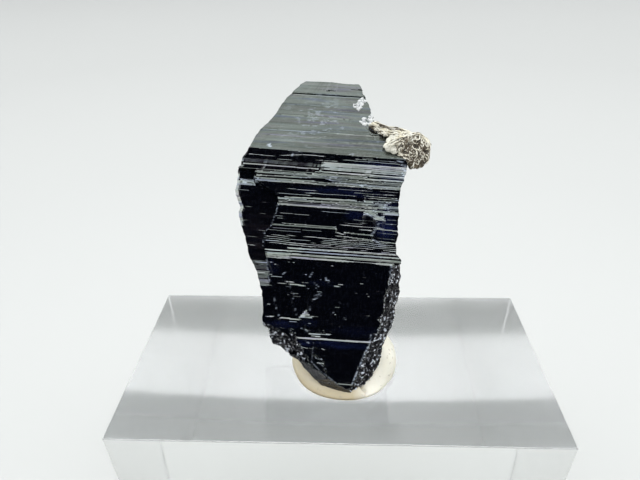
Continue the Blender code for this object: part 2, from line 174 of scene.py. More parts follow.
# Faces right across the front, each from an edge upward: edge height at the left and at the right
# of the crystal in mm, and the slope above it
FRONT_FACES = [
    (-1.00, -1.00, 0.17), (0.41, 0.44, GLINT), (0.46, 0.50, DARK), (2.80, 2.86, PALE),
    (2.88, 2.94, DARK), (7.04, 6.98, PALE), (7.13, 7.10, DARK), (7.18, 7.15, PALE),
    (7.27, 7.28, DARK), (7.35, 7.35, PALE), (7.41, 7.43, DARK), (7.49, 7.52, PALE),
    (7.56, 7.62, DARK), (8.66, 8.66, PALE), (8.72, 8.72, DARK), (8.76, 8.75, PALE),
    (8.82, 8.80, DARK), (9.73, 9.66, PALE), (10.16, 10.32, DARK), (10.91, 10.91, PALE),
    (11.60, 11.56, DARK), (11.64, 11.60, GLINT), (11.70, 11.66, DARK), (12.64, 12.54, -0.35),
    (13.16, 13.10, -0.375), (13.70, 13.70, -0.39), (16.45, 16.51, DARK), (16.52, 16.57, SOFT),
    (16.58, 16.62, -0.41),
]

# Partial faces and fine growth lines on the front: left and right end, height at each end, and
# thickness, in mm, and slope
FRONT_STROKES = [
    # Cap and upper face
    (-2.54, -1.95, 16.80, 16.84, 0.045, DARK), (-1.14, -0.45, 17.00, 17.02, 0.045, DARK),
    (-4.40, -0.50, 16.42, 16.47, 0.03, GLINT), (-3.60, -1.20, 17.10, 17.14, 0.03, SOFT),
    (-5.85, -2.20, 13.88, 13.92, 0.05, -0.20), (-2.30, 0.75, 13.92, 13.88, 0.045, -0.20),
    (-2.15, 0.60, 14.06, 14.02, 0.035, 0.15), (-5.40, -2.60, 13.55, 13.53, 0.035, -0.22),
    (-4.90, -1.00, 14.95, 14.90, 0.03, -0.24), (-3.10, 0.20, 15.35, 15.30, 0.03, -0.50),
    (-4.60, -2.20, 15.70, 15.72, 0.03, -0.25), (-1.80, 0.90, 13.40, 13.36, 0.03, -0.25),
    (-5.50, -3.00, 13.20, 13.24, 0.03, -0.50), (-2.50, 1.40, 13.00, 13.02, 0.03, -0.50),
    # Black band under the upper face
    (-4.60, -3.50, 12.33, 12.44, 0.03, DIM), (-3.55, -2.30, 12.45, 12.42, 0.03, DIM),
    (-1.35, 1.80, 12.33, 12.29, 0.035, DIM), (-0.60, 1.40, 12.42, 12.40, 0.02, SOFT),
    (-6.30, -5.00, 12.30, 12.28, 0.02, DIM), (-2.70, -1.60, 12.22, 12.24, 0.025, DIM),
    # Purple strip and white line on the left, wide bar on the right
    (-6.70, -2.42, 11.91, 11.88, 0.15, 0.285), (-6.70, -2.90, 12.07, 12.04, 0.025, 0.27),
    (-6.70, -2.42, 11.60, 11.57, 0.17, DARK), (-6.60, -2.60, 11.79, 11.75, 0.06, GLINT),
    (-2.36, 2.30, 11.76, 11.72, 0.36, 0.085), (-2.36, 2.30, 12.10, 12.09, 0.075, GLINT),
    (-2.36, -2.03, 11.84, 11.84, 0.06, DARK), (-1.60, 1.90, 11.93, 11.89, 0.02, DARK),
    (-0.40, 2.10, 12.01, 11.99, 0.018, DARK), (-2.00, -0.30, 11.83, 11.81, 0.018, SOFT),
    (0.20, 2.10, 11.80, 11.78, 0.022, DARK), (-2.70, 1.90, 11.62, 11.58, 0.03, GLINT),
    (-2.70, 0.20, 11.56, 11.53, 0.03, DARK),
    # First pale band
    (-3.28, -2.84, 11.45, 11.45, 0.07, DARK), (-5.60, -3.60, 11.46, 11.43, 0.02, DARK),
    (-2.70, -0.10, 11.40, 11.37, 0.02, DARK), (-4.70, -1.90, 11.33, 11.31, 0.018, DARK),
    (-5.80, -4.10, 11.25, 11.25, 0.02, SOFT), (-3.00, 0.60, 11.25, 11.22, 0.022, DARK),
    (-5.30, -2.40, 11.17, 11.15, 0.018, DARK), (-1.80, 1.70, 11.13, 11.10, 0.018, DARK),
    (-4.00, -0.60, 11.06, 11.04, 0.022, GLINT), (-5.70, -3.90, 11.03, 11.03, 0.018, DARK),
    (-0.90, 1.80, 11.02, 11.01, 0.022, GLINT), (-2.60, 0.30, 10.98, 10.97, 0.018, DARK),
    (-0.05, 2.20, 11.45, 11.46, 0.075, DARK), (0.05, 1.95, 11.38, 11.39, 0.06, GLINT),
    (0.10, 2.20, 11.31, 11.30, 0.022, DARK), (0.60, 2.20, 11.22, 11.21, 0.022, DARK),
    (-5.90, -4.50, 10.93, 10.92, 0.03, GLINT), (-3.90, -2.70, 10.92, 10.92, 0.03, GLINT),
    (-1.00, 1.60, 10.92, 10.92, 0.028, GLINT),
    # Dark stretch between the first two pale bands
    (-4.60, -2.90, 10.34, 10.33, 0.018, DIM), (-0.60, 1.50, 10.62, 10.62, 0.022, DIM),
    (-3.20, -0.60, 10.45, 10.46, 0.018, DIM), (0.10, 1.60, 10.50, 10.47, 0.022, SOFT),
    (-1.50, 0.30, 10.74, 10.75, 0.018, DIM), (-4.10, -2.60, 10.60, 10.58, 0.016, DIM),
    (0.60, 1.70, 10.80, 10.78, 0.018, DIM), (0.20, 1.70, 10.40, 10.38, 0.03, SOFT),
    # Second pale band, which breaks up into steps at its right end
    (-4.60, -3.95, 10.13, 10.15, 0.07, DARK), (-4.60, -3.95, 10.05, 10.06, 0.06, GLINT),
    (-4.60, -3.95, 9.98, 9.99, 0.05, DARK), (-4.20, -0.50, 10.15, 10.24, 0.045, GLINT),
    (-3.80, -1.20, 10.06, 10.12, 0.022, DARK), (-4.40, -2.20, 9.90, 9.90, 0.022, DARK),
    (-2.80, -0.70, 9.98, 10.01, 0.018, DARK), (-1.90, 0.00, 9.86, 9.84, 0.022, DARK),
    (-4.40, -0.30, 9.74, 9.70, 0.04, GLINT), (-0.45, -0.08, 10.20, 10.22, 0.09, DARK),
    (0.00, 0.60, 9.50, 9.44, 0.20, PALE), (0.50, 1.00, 9.28, 9.26, 0.24, SOFT),
    (0.05, 0.85, 9.98, 10.02, 0.05, DARK), (0.60, 1.30, 9.80, 9.76, 0.09, DARK),
    (0.90, 1.80, 9.58, 9.56, 0.11, GLINT), (1.05, 1.80, 10.04, 10.06, 0.13, DARK),
    (0.40, 1.10, 10.16, 10.20, 0.06, DARK), (1.10, 1.80, 9.86, 9.84, 0.04, DARK),
    (0.75, 1.75, 9.48, 9.50, 0.03, DARK), (0.30, 1.00, 9.64, 9.62, 0.03, DARK),
    (1.20, 1.80, 9.74, 9.76, 0.025, DARK), (1.30, 1.80, 10.22, 10.24, 0.05, DARK),
    # Dark stretch above the double line, with dim lines
    (-2.20, -0.80, 9.52, 9.50, 0.016, DIM), (-0.60, 0.50, 9.20, 9.18, 0.018, DIM),
    (-1.10, 0.20, 9.02, 8.98, 0.018, DIM), (-4.40, -2.80, 9.30, 9.28, 0.014, DIM),
    (0.62, 1.72, 9.12, 9.10, 0.022, DIM), (0.70, 1.70, 9.30, 9.32, 0.018, DIM),
    # The double line ends midway, and short lines take over lower down
    (-1.45, 0.42, 8.64, 8.62, 0.20, DARK), (-1.42, -1.00, 8.50, 8.40, 0.045, GLINT),
    (-0.98, 0.46, 8.50, 8.46, 0.055, PALE), (-0.20, 0.50, 8.72, 8.70, 0.04, GLINT),
    (-0.97, 0.54, 8.30, 8.21, 0.045, PALE), (-1.40, -0.60, 8.33, 8.29, 0.022, SOFT),
    (0.42, 2.20, 8.60, 8.58, 0.26, DARK), (0.58, 1.75, 8.81, 8.76, 0.045, SOFT),
    (0.66, 1.75, 8.62, 8.60, 0.022, DIM), (0.90, 1.80, 8.18, 8.14, 0.035, SOFT),
    (0.62, 1.80, 8.36, 8.32, 0.022, DIM), (-4.80, -2.20, 8.52, 8.50, 0.016, DIM),
    (-5.00, -3.20, 8.40, 8.38, 0.018, DIM), (-1.20, 1.00, 8.90, 8.86, 0.022, GLINT),
    # Left end of the line group, with its grey block
    (-5.30, -3.84, 7.46, 7.46, 0.26, DARK), (-5.30, -3.94, 7.36, 7.36, 0.06, GLINT),
    (-5.30, -3.86, 7.28, 7.28, 0.08, DARK), (-5.10, -3.78, 6.96, 6.96, 0.31, PALE),
    (-5.00, -4.00, 7.04, 7.03, 0.018, DARK), (-4.70, -3.86, 7.13, 7.12, 0.018, DARK),
    (-5.05, -4.20, 7.20, 7.20, 0.018, GLINT), (-5.30, -3.84, 6.80, 6.80, 0.15, DARK),
    (-3.80, 1.68, 7.54, 7.58, 0.03, GLINT), (-3.80, 1.68, 7.39, 7.40, 0.022, GLINT),
    (-3.70, 1.60, 7.235, 7.24, 0.022, GLINT), (-3.60, 1.50, 7.06, 7.02, 0.025, GLINT),
    # Marks on the broad lower face
    (-4.30, -3.84, 5.66, 5.67, 0.035, PALE), (-3.90, -3.50, 5.77, 5.75, 0.08, PALE),
    (-3.66, -2.90, 5.65, 5.63, 0.06, PALE), (-3.02, -2.72, 5.79, 5.77, 0.04, FAINT),
    (-1.92, -1.56, 5.97, 5.99, 0.045, FAINT), (-1.32, -1.02, 5.71, 5.69, 0.065, PALE),
    (-3.60, -3.15, 5.20, 5.20, 0.035, FAINT), (-3.48, -3.00, 5.03, 5.06, 0.035, FAINT),
    (-2.28, -1.88, 5.38, 5.36, 0.045, FAINT), (-2.50, -2.22, 4.94, 4.96, 0.035, FAINT),
    (-4.80, -4.46, 3.87, 3.88, 0.045, PALE), (-4.04, -3.02, 3.86, 3.79, 0.065, PALE),
    (-3.62, -3.16, 3.68, 3.68, 0.04, GLINT), (-2.44, -1.96, 4.03, 4.07, 0.04, FAINT),
    (-2.54, -1.30, 3.09, 3.13, 0.05, PALE), (-2.38, -1.84, 2.99, 2.98, 0.055, PALE),
    (-2.20, -1.50, 3.19, 3.21, 0.03, FAINT), (0.95, 1.62, 5.60, 5.61, 0.03, DIM),
    (-4.70, -4.10, 6.02, 6.02, 0.03, FAINT), (0.10, 1.20, 6.28, 6.26, 0.02, DIM),
    (-1.60, 1.20, 3.72, 3.70, 0.03, DIM), (-1.30, 1.00, 3.42, 3.40, 0.03, DIM),
    (-0.20, 1.30, 4.30, 4.28, 0.02, DIM), (-3.20, -1.80, 4.60, 4.60, 0.03, DIM),
    (-4.60, -3.70, 4.85, 4.84, 0.02, DIM), (-4.90, -3.60, 3.50, 3.46, 0.03, DIM),
    (0.40, 1.40, 5.02, 5.00, 0.02, DIM), (-0.10, 1.30, 3.95, 3.94, 0.02, DIM),
    # Lines on the face at the point
    (-1.60, 0.62, 2.24, 2.32, 0.035, DIM), (-0.72, 0.00, 1.86, 1.89, 0.032, DIM),
    (-2.05, -1.62, 1.78, 1.77, 0.032, PALE), (-1.95, -1.50, 1.55, 1.52, 0.032, SOFT),
    (-1.90, 0.60, 2.66, 2.70, 0.03, DIM),
]

# Faces and lines of the flank, which lies behind the front layer on the left
FLANK_FACES = [
    (-1.00, -1.00, 0.17), (0.42, 0.48, DARK), (2.80, 2.86, PALE), (2.88, 2.94, DARK),
    (5.50, 5.50, 0.10), (5.84, 5.88, DARK), (5.90, 5.94, 0.13), (6.30, 6.36, DARK),
    (6.36, 6.42, 0.17), (6.84, 6.88, FLAT), (11.62, 11.62, PALE), (11.97, 11.97, FLAT),
    (12.40, 12.40, PALE),
]
FLANK_STROKES = [
    (-6.72, -4.60, 10.74, 10.74, 0.36, PALE), (-6.40, -5.95, 10.86, 10.86, 0.03, DARK),
    (-6.62, -6.20, 10.96, 10.96, 0.025, GLINT), (-6.50, -6.00, 11.03, 11.03, 0.02, DARK),
    (-5.66, -5.00, 6.05, 6.06, 0.03, DARK), (-5.60, -5.10, 6.18, 6.18, 0.03, GLINT),
    (-5.30, -4.90, 5.62, 5.62, 0.03, DARK), (-5.90, -5.20, 6.60, 6.58, 0.03, DARK),
    (-5.60, -5.00, 6.72, 6.72, 0.03, GLINT), (-6.10, -5.75, 7.62, 7.60, 0.02, SOFT),
    (-6.20, -5.60, 8.06, 8.05, 0.02, DIM), (-5.70, -5.10, 8.42, 8.40, 0.02, DIM),
    (-6.50, -6.10, 8.90, 8.90, 0.02, DIM), (-5.60, -5.20, 9.32, 9.30, 0.02, DIM),
    (-6.50, -5.90, 9.62, 9.62, 0.02, DIM), (-5.60, -5.20, 9.88, 9.90, 0.02, DIM),
    (-6.80, -6.30, 10.46, 10.46, 0.02, SOFT), (-5.90, -5.40, 10.62, 10.60, 0.018, DIM),
]

# Bruised and dusty marks, and painted highlights along the front layer's edge: a line between two places,
# across and up, its half width, and strength
WEAR_AND_HIGHLIGHT_LINES = [
    (-2.19, 2.86, -2.22, 2.20, 0.012, 0.30), (-2.22, 2.20, -2.24, 1.55, 0.012, 0.22),
    (-2.24, 1.58, -1.80, 1.16, 0.022, 0.45), (-1.80, 1.16, -0.81, 0.50, 0.020, 0.4),
    (-1.88, 1.59, -1.42, 1.23, 0.016, 0.4), (0.86, 3.31, 0.80, 2.74, 0.035, 0.6),
    (0.80, 2.74, 0.50, 1.88, 0.040, 0.8), (0.50, 1.88, 0.08, 0.50, 0.035, 0.8),
    (-2.93, 3.39, -2.53, 3.21, 0.016, 0.6), (-2.49, 4.96, -2.24, 4.98, 0.012, 0.5),
    (-2.24, 4.98, -1.95, 5.21, 0.012, 0.5), (-2.50, 6.36, -2.66, 6.06, 0.012, 0.55),
    (-1.84, 6.24, -1.78, 6.06, 0.012, 0.5), (-1.78, 6.06, -1.60, 5.86, 0.014, 0.6),
    (-4.06, 6.16, -3.94, 6.26, 0.018, 0.8), (-0.97, 4.92, -0.93, 4.84, 0.012, 0.5),
    (-1.24, 4.40, -1.31, 4.24, 0.014, 0.6), (-0.65, 4.09, -0.60, 4.02, 0.012, 0.45),
    (-4.20, 4.10, -4.14, 3.90, 0.012, 0.55), (-2.05, 5.25, -2.42, 4.86, 0.012, 0.30),
    (-2.56, 4.62, -2.50, 4.36, 0.012, 0.30), (-1.95, 5.32, -2.30, 5.16, 0.014, 0.35),
    (-3.66, 5.62, -3.40, 5.10, 0.010, 0.35), (-3.40, 5.10, -3.52, 4.60, 0.010, 0.35),
    (-4.46, 4.90, -4.30, 4.30, 0.010, 0.35), (-3.30, 4.40, -3.18, 3.94, 0.010, 0.35),
    # The lines along the front layer's left edge, in this row and the next three, are painted highlights
    (-2.42, 5.86, -2.10, 5.60, 0.012, 0.45), (-5.00, 6.92, -4.91, 6.40, 0.025, 0.7),
    (-4.91, 6.40, -4.75, 5.72, 0.022, 0.5), (-4.57, 9.70, -4.71, 9.24, 0.035, 0.9),
    (-4.71, 9.24, -4.89, 8.62, 0.030, 0.6), (-4.89, 8.62, -5.20, 8.29, 0.035, 0.9),
    (-5.20, 8.29, -5.26, 7.46, 0.020, 0.5), (0.10, 9.56, 0.60, 9.28, 0.030, 0.7),
    (0.60, 9.28, 0.75, 9.02, 0.035, 0.8), (0.75, 9.02, 0.46, 8.52, 0.030, 0.6),
    (0.50, 8.28, 0.88, 8.12, 0.035, 0.7), (-5.34, 12.88, -5.22, 12.80, 0.060, 1.0),
    (-5.27, 12.98, -5.27, 12.86, 0.035, 1.0), (-0.95, 12.66, -0.82, 12.66, 0.050, 1.0),
    (-4.05, 12.36, -3.95, 12.46, 0.030, 0.8), (-6.52, 10.90, -6.40, 10.84, 0.060, 1.0),
    (-0.30, 11.02, -0.22, 10.98, 0.045, 0.9), (0.10, 10.95, 0.20, 10.88, 0.045, 0.8),
    (-6.86, 9.20, -6.93, 10.40, 0.030, 0.55), (-6.93, 10.40, -6.86, 11.20, 0.028, 0.45),
    (-6.60, 8.60, -6.82, 9.20, 0.030, 0.6), (0.62, 9.92, 1.10, 9.98, 0.030, 0.7),
    (1.10, 9.98, 1.30, 9.70, 0.030, 0.6), (0.40, 9.78, 0.70, 9.66, 0.030, 0.6),
    (1.55, 7.05, 1.62, 5.60, 0.030, 0.5), (-2.60, 2.70, -2.46, 2.60, 0.030, 0.7),
    (1.70, 12.34, 1.95, 12.20, 0.035, 0.9), (1.78, 12.10, 2.05, 11.98, 0.035, 0.9),
    (1.86, 11.86, 2.00, 11.52, 0.035, 0.8), (1.55, 12.46, 1.80, 12.42, 0.030, 0.8),
    (1.60, 11.70, 1.90, 11.62, 0.030, 0.7), (1.92, 12.32, 1.98, 11.95, 0.030, 0.9),
    (0.12, 14.46, 0.36, 14.40, 0.025, 0.9), (0.20, 14.54, 0.26, 14.28, 0.022, 0.8),
    (0.36, 14.36, 0.46, 14.20, 0.025, 0.9), (0.26, 14.26, 0.52, 14.24, 0.022, 0.8),
    (0.05, 14.36, 0.16, 14.28, 0.025, 0.8), (0.52, 14.14, 0.66, 14.02, 0.025, 0.8),
]

# Bluer patches of the faces: across, up, reach across, reach up, and strength
NAVY_PATCHES = [
    (-0.80, 2.62, 1.60, 0.24, 0.7), (-2.70, 2.60, 0.50, 0.25, 0.7), (1.15, 8.90, 0.60, 0.70, 0.9),
    (1.10, 9.85, 0.60, 0.30, 0.5), (-1.20, 10.60, 2.60, 0.25, 0.45), (-2.00, 5.80, 1.60, 0.16, 0.12),
    (-3.90, 3.50, 1.10, 0.22, 0.40), (0.40, 3.40, 1.80, 0.34, 0.14), (-2.50, 3.70, 0.60, 0.22, 0.30),
    (-0.50, 9.40, 0.60, 0.30, 0.5), (1.30, 11.55, 0.90, 0.60, 0.55), (0.90, 9.95, 1.10, 0.40, 0.55),
    (0.50, 12.15, 1.60, 0.12, 0.9), (-4.80, 6.40, 0.60, 0.50, 0.25),
]

# Tops of the broken sides, and three points on each broken surface: across, up and toward the
# front, in mm
RIGHT_BREAK_TOP = 7.1
LEFT_BREAK_TOP = 3.4
RIGHT_BREAK = [(1.50, 7.00, 2.52), (1.20, 3.50, 1.14), (2.16, 5.20, 1.05)]
LOWER_RIGHT_BREAK = [(0.82, 2.80, 0.93), (0.08, 0.50, 0.04), (1.42, 1.40, -0.30)]
LEFT_BREAK_ABOVE = [(-3.38, 2.86, 0.92), (-4.95, 3.50, 1.08), (-3.90, 2.05, -0.10)]
LEFT_BREAK_BELOW = [(-3.20, 2.86, 0.92), (-2.30, 1.50, 0.42), (-3.80, 2.00, -0.20)]
SLATE_FACET = [(-2.59, 1.54, 0.43), (-0.81, 0.48, 0.04), (-1.57, 0.30, -0.40)]
# Upper edge of the slate facet, across and up
SLATE_LIMIT = [(-3.20, 1.95), (-2.59, 1.54), (-1.85, 1.14), (-0.81, 0.47), (0.20, 0.40)]


class CrystalSettings(PropertyGroup):
    point_place: FloatVectorProperty(
        name="Point", description="Where the crystal's point stands",
        default=(0.00076, -0.0031, 0.0248), subtype="TRANSLATION", unit="LENGTH")
    lean: FloatProperty(
        name="Lean", description="Lean of the long axis away from the viewer",
        default=math.radians(40.0), subtype="ANGLE")
    turn: FloatProperty(
        name="Turn", description="Turn about the long axis",
        default=math.radians(2.0), subtype="ANGLE")
    roll: FloatProperty(
        name="Roll", description="Roll in the plane of the front",
        default=math.radians(3.6), subtype="ANGLE")
    colour: FloatVectorProperty(
        name="Body colour", description="Colour deep in the crystal", default=(0.0005, 0.0006, 0.0018),
        subtype="COLOR", min=0.0, max=1.0)
    navy: FloatVectorProperty(
        name="Navy", description="Colour of the bluer patches", default=(0.004, 0.007, 0.034),
        subtype="COLOR", min=0.0, max=1.0)
    refraction: FloatProperty(
        name="Refractive index", description="Sets how bright the reflections are", default=2.5)
    gloss_roughness: FloatProperty(
        name="Roughness", description="Roughness of the natural faces", default=0.05, subtype="FACTOR")


class HolderSettings(PropertyGroup):
    putty_colour: FloatVectorProperty(
        name="Putty colour", description="Cream of the mineral putty", default=(0.80, 0.77, 0.66),
        subtype="COLOR", min=0.0, max=1.0)
    putty_radius: FloatProperty(
        name="Putty radius", description="Radius of the pressed ball of putty",
        default=0.0031, unit="LENGTH")
    putty_height: FloatProperty(
        name="Putty height", description="Height of the putty behind the crystal",
        default=0.00195, unit="LENGTH")
    block_refraction: FloatProperty(
        name="Block refractive index", description="Refractive index of the clear block", default=1.49)


class RockSettings(PropertyGroup):
    cream: FloatVectorProperty(
        name="Cream", description="Pale fibres of the rock scrap", default=(0.88, 0.85, 0.73),
        subtype="COLOR", min=0.0, max=1.0)
    brown: FloatVectorProperty(
        name="Brown", description="Dark fibres of the rock scrap", default=(0.030, 0.022, 0.015),
        subtype="COLOR", min=0.0, max=1.0)
    crust: FloatVectorProperty(
        name="Crust", description="Colour of the white grains", default=(0.60, 0.61, 0.61),
        subtype="COLOR", min=0.0, max=1.0)


class StageSettings(PropertyGroup):
    floor_colour: FloatVectorProperty(
        name="Floor", description="Colour of the floor", default=(0.550, 0.552, 0.538),
        subtype="COLOR", min=0.0, max=1.0)
    sky_strength: FloatProperty(name="Sky", description="Strength of the soft overhead light", default=1.0)
    lens: FloatProperty(name="Lens", description="Focal length of the camera", default=27.9, unit="CAMERA")
    camera_place: FloatVectorProperty(
        name="Camera", description="Place of the camera", default=(0.0001525, -0.0216975, 0.046635),
        subtype="TRANSLATION", unit="LENGTH")


def link(made):
    bpy.context.scene.collection.objects.link(made)
    return made


def mesh_object(name, points, faces):
    """A smooth-shaded object from points and the corner numbers of its faces."""
    mesh = bpy.data.meshes.new(name)
    mesh.from_pydata([tuple(point) for point in points], [], [tuple(face) for face in faces])
    mesh.update()
    mesh.shade_smooth()
    return link(bpy.data.objects.new(name, mesh))


def lattice_noise(x, y, seed):
    """Smooth noise from -1 to 1 over a plane, one feature per unit of x and of y."""
    table = np.random.default_rng(seed).random((256, 256)) * 2 - 1
    low_x = np.floor(x).astype(int)
    low_y = np.floor(y).astype(int)
    part_x = x - low_x
    part_y = y - low_y
    part_x = part_x * part_x * (3 - 2 * part_x)
    part_y = part_y * part_y * (3 - 2 * part_y)
    corner = [table[(low_x + i) % 256, (low_y + j) % 256] for i in (0, 1) for j in (0, 1)]
    near = corner[0] + (corner[1] - corner[0]) * part_y
    far = corner[2] + (corner[3] - corner[2]) * part_y
    return near + (far - near) * part_x


def layered_noise(x, y, seed, layers=3):
    """Noise over several sizes, each layer finer and weaker."""
    total = 0.0
    for layer in range(layers):
        total = total + lattice_noise(x * 2.1**layer, y * 2.1**layer, seed + layer) * 0.55**layer
    return total


def limit_at(limit, up):
    """Where an edge given as across and up stands across, at some heights."""
    across, heights = zip(*limit)
    return np.interp(up, heights, across)


def row_heights():
    """Heights of the crystal's rows of points, in mm."""
    rows = [np.arange(low, high, step) for low, high, step in ROW_ZONES]
    rows.append(np.array([ROW_ZONES[-1][1]]))
    return np.concatenate(rows)


def face_slopes(across, up, faces, seed):
    """Slope at each place, from faces whose edges run a little unevenly across the crystal."""
    slope = np.zeros_like(up)
    for index, (left, right, value) in enumerate(faces):
        edge = left + (right - left) * (across - EDGE_LEFT) / (EDGE_RIGHT - EDGE_LEFT)
        edge = edge + EDGE_RAGGED * lattice_noise(across * 1.7, np.full_like(across, index), seed)
        slope = np.where(up >= edge, value, slope)
    return slope


def scattered_marks(count, seed):
    """Short growth marks over the broad lower face, closer together on its left."""
    draw = np.random.default_rng(seed)
    marks = []
    for _ in range(count):
        left = -4.9 + 5.6 * draw.random() ** 2.6
        low = draw.uniform(3.0, 6.8)
        length = draw.uniform(0.08, 0.40)
        thickness = draw.uniform(0.014, 0.026)
        low_right = low + draw.uniform(-0.06, 0.03)
        slope = draw.choice([GLINT, FAINT, FAINT, 0.0, 0.03, DIM])
        marks.append((left, left + length, low, low_right, thickness, slope))
    return marks


def draw_strokes(slope, across, up, strokes, seed):
    """Partial faces over the full ones, with slightly ragged ends and edges."""
    for index, (left, right, low, low_right, thickness, value) in enumerate(strokes):
        low_edge = low + (low_right - low) * (across - left) / (right - left)
        ragged = lattice_noise(across * 2.3, np.full_like(across, index), seed)
        low_edge = low_edge + EDGE_RAGGED * ragged
        ends = 0.05 * lattice_noise(up * 30, np.full_like(up, index), seed + 1)
        inside = (across > left + ends) & (across < right - ends)
        inside &= (up > low_edge) & (up < low_edge + thickness)
        slope = np.where(inside, value, slope)
    return slope


def turned_profile(heights, turns, start):
    """Depth of a packed profile, whose faces widen and narrow by turns."""
    depths = [start, start]
    for index in range(1, len(turns)):
        slope = DARK if index % 2 else PALE
        depths.append(depths[-1] + slope * (turns[index] - turns[index - 1]))
    return np.interp(heights, [-1.0, *turns], depths)


def smoothed(heights, values, reach):
    """Values averaged over a window of heights, three times over."""
    low = np.maximum(heights - reach, heights[0])
    high = np.minimum(heights + reach, heights[-1])
    for _ in range(3):
        steps = 0.5 * (values[1:] + values[:-1]) * np.diff(heights)[:, None]
        total = np.vstack([np.zeros((1, values.shape[1])), np.cumsum(steps, axis=0)])
        columns = [np.interp(high, heights, each) - np.interp(low, heights, each) for each in total.T]
        values = np.stack(columns, axis=1) / (high - low)[:, None]
    return values


def summed_relief(heights, slope, turns, start):
    """Depth from slopes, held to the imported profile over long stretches."""
    rise = np.diff(heights)[:, None]
    depth = np.vstack([np.zeros((1, slope.shape[1])), np.cumsum(slope[1:] * rise, axis=0)]) + start
    middle = depth.mean(axis=1, keepdims=True)
    packed = turned_profile(heights, turns, start)[:, None]
    leaning = smoothed(heights, depth - middle, COLUMN_HOLD)
    return depth - leaning - smoothed(heights, middle - packed, PROFILE_HOLD)


def fine_lines(slope, across, up, seed, dark_share, pale_share):
    """Hair lines along the faces: pale ones on dark faces and dark ones on pale faces."""
    streak = lattice_noise(across * 0.45 + 40, up * 26, seed)
    second = lattice_noise(across * 0.4 + 80, up * 21, seed + 1)
    pale = slope < -0.2
    slope = np.where(~pale & (streak > pale_share), DIM, slope)
    slope = np.where(pale & (second > dark_share), DARK, slope)
    slope = np.where(pale & (second < -0.66), GLINT, slope)
    drift = 0.03 * lattice_noise(across * 0.3, up * 5.0, seed + 2)
    tone = 0.07 * lattice_noise(across * 0.6, up * 30.0, seed + 3)
    return slope + np.where(pale, drift + tone, 0.02)


def in_zone(values, zone):
    """Which values lie between a zone's two ends."""
    return (values > zone[0]) & (values < zone[1])


def wavy_lines(slope, across, up):
    """Closely set wavy growth lines, bright on dark."""
    bent = up + 0.045 * lattice_noise(across * 1.1, up * 1.6, 31) + 0.012 * across
    wave = np.sin(bent * 2 * math.pi / WAVE_PITCH) + 0.3 * lattice_noise(across * 1.2, up * 11, 33)
    top = WAVY_ZONE[1] + 0.05 * lattice_noise(across * 2, up * 0, 35)
    wavy = (up > WAVY_ZONE[0]) & (up < top) & (across > WAVY_LEFT)
    return np.where(wavy & (wave > 0.86), GLINT, np.where(wavy, DARK, slope))


def front_relief(across, up, heights):
    """Depth of the thick front layer."""
    slope = face_slopes(across, up, FRONT_FACES, 11)
    slope = np.where(in_zone(up, BAND_ZONE), fine_lines(slope, across, up, 41, 0.50, 0.88), slope)
    slope = wavy_lines(slope, across, up)
    streaks = 0.026 * lattice_noise(across * 0.22, up * 8, 37)
    streaks = streaks + 0.026 * lattice_noise(across * 0.40, up * 26, 38)
    slope = np.where(in_zone(up, UPPER_FACE_ZONE) | (up > CAP_FOOT), slope + streaks, slope)
    slope = draw_strokes(slope, across, up, FRONT_STROKES + scattered_marks(70, 67), 61)
    pyramid_side = PYRAMID_TOP - PYRAMID_SLANT * np.abs(across - PYRAMID_MIDDLE)
    slope = np.where((up > PYRAMID_FOOT) & (up < pyramid_side), PYRAMID_SLOPE, slope)
    ripple = 0.05 * lattice_noise(across * 0.9, up * 5.0, 43)
    ripple = ripple + 0.03 * lattice_noise(across * 2.5, up * 14.0, 47)
    lower = in_zone(up, LOWER_FACE_ZONE) | in_zone(up, POINT_FACE_ZONE)
    slope = np.where(lower & (slope > 0.3), slope + ripple, slope)
    return summed_relief(heights, slope, FRONT_TURNS, FRONT_START)


def flank_relief(across, up, heights):
    """Depth of the flank behind the front layer."""
    slope = face_slopes(across, up, FLANK_FACES, 13)
    slope = draw_strokes(slope, across, up, FLANK_STROKES, 65)
    slope = slope + np.where(slope > 0.2, 0.04 * lattice_noise(across * 1.2, up * 6.0, 51), 0.0)
    return summed_relief(heights, slope, FLANK_TURNS, FLANK_START)


def back_relief(across, up, heights):
    """Depth of the back, which is negative."""
    faces = [(turn, turn + 0.04, (DARK, PALE)[index % 2]) for index, turn in enumerate(BACK_TURNS)]
    slope = face_slopes(across, up, [(-1.0, -1.0, BACK_START)] + faces, 17)
    slope = fine_lines(slope, across, up, 55, 0.60, 0.70)
    return -summed_relief(heights, slope, BACK_TURNS, BACK_START)


def break_depth(points, across, up):
    """Depth toward the front of the plane through three points."""
    a, b, c = (Vector(point) for point in points)
    normal = (b - a).cross(c - a)
    return a.z - (normal.x * (across - a.x) + normal.y * (up - a.y)) / normal.z


def grit(across, up, size, seed):
    """Granular broken surface: ridged noise over several sizes."""
    rough = 0.0
    for layer in range(4):
        wave = lattice_noise(across / size * 1.9**layer, up / size * 1.9**layer, seed + layer)
        rough = rough + (0.5 - np.abs(wave)) * 0.62**layer
    return rough


def seat_matrix(settings):
    """Lays the crystal's axes (across, back, up) into the row frame."""
    turned = (
        Matrix.Rotation(-settings.lean, 4, "X")
        @ Matrix.Rotation(settings.turn, 4, "Z")
        @ Matrix.Rotation(settings.roll, 4, "Y")
    )
    return Matrix.Translation(settings.point_place) @ turned


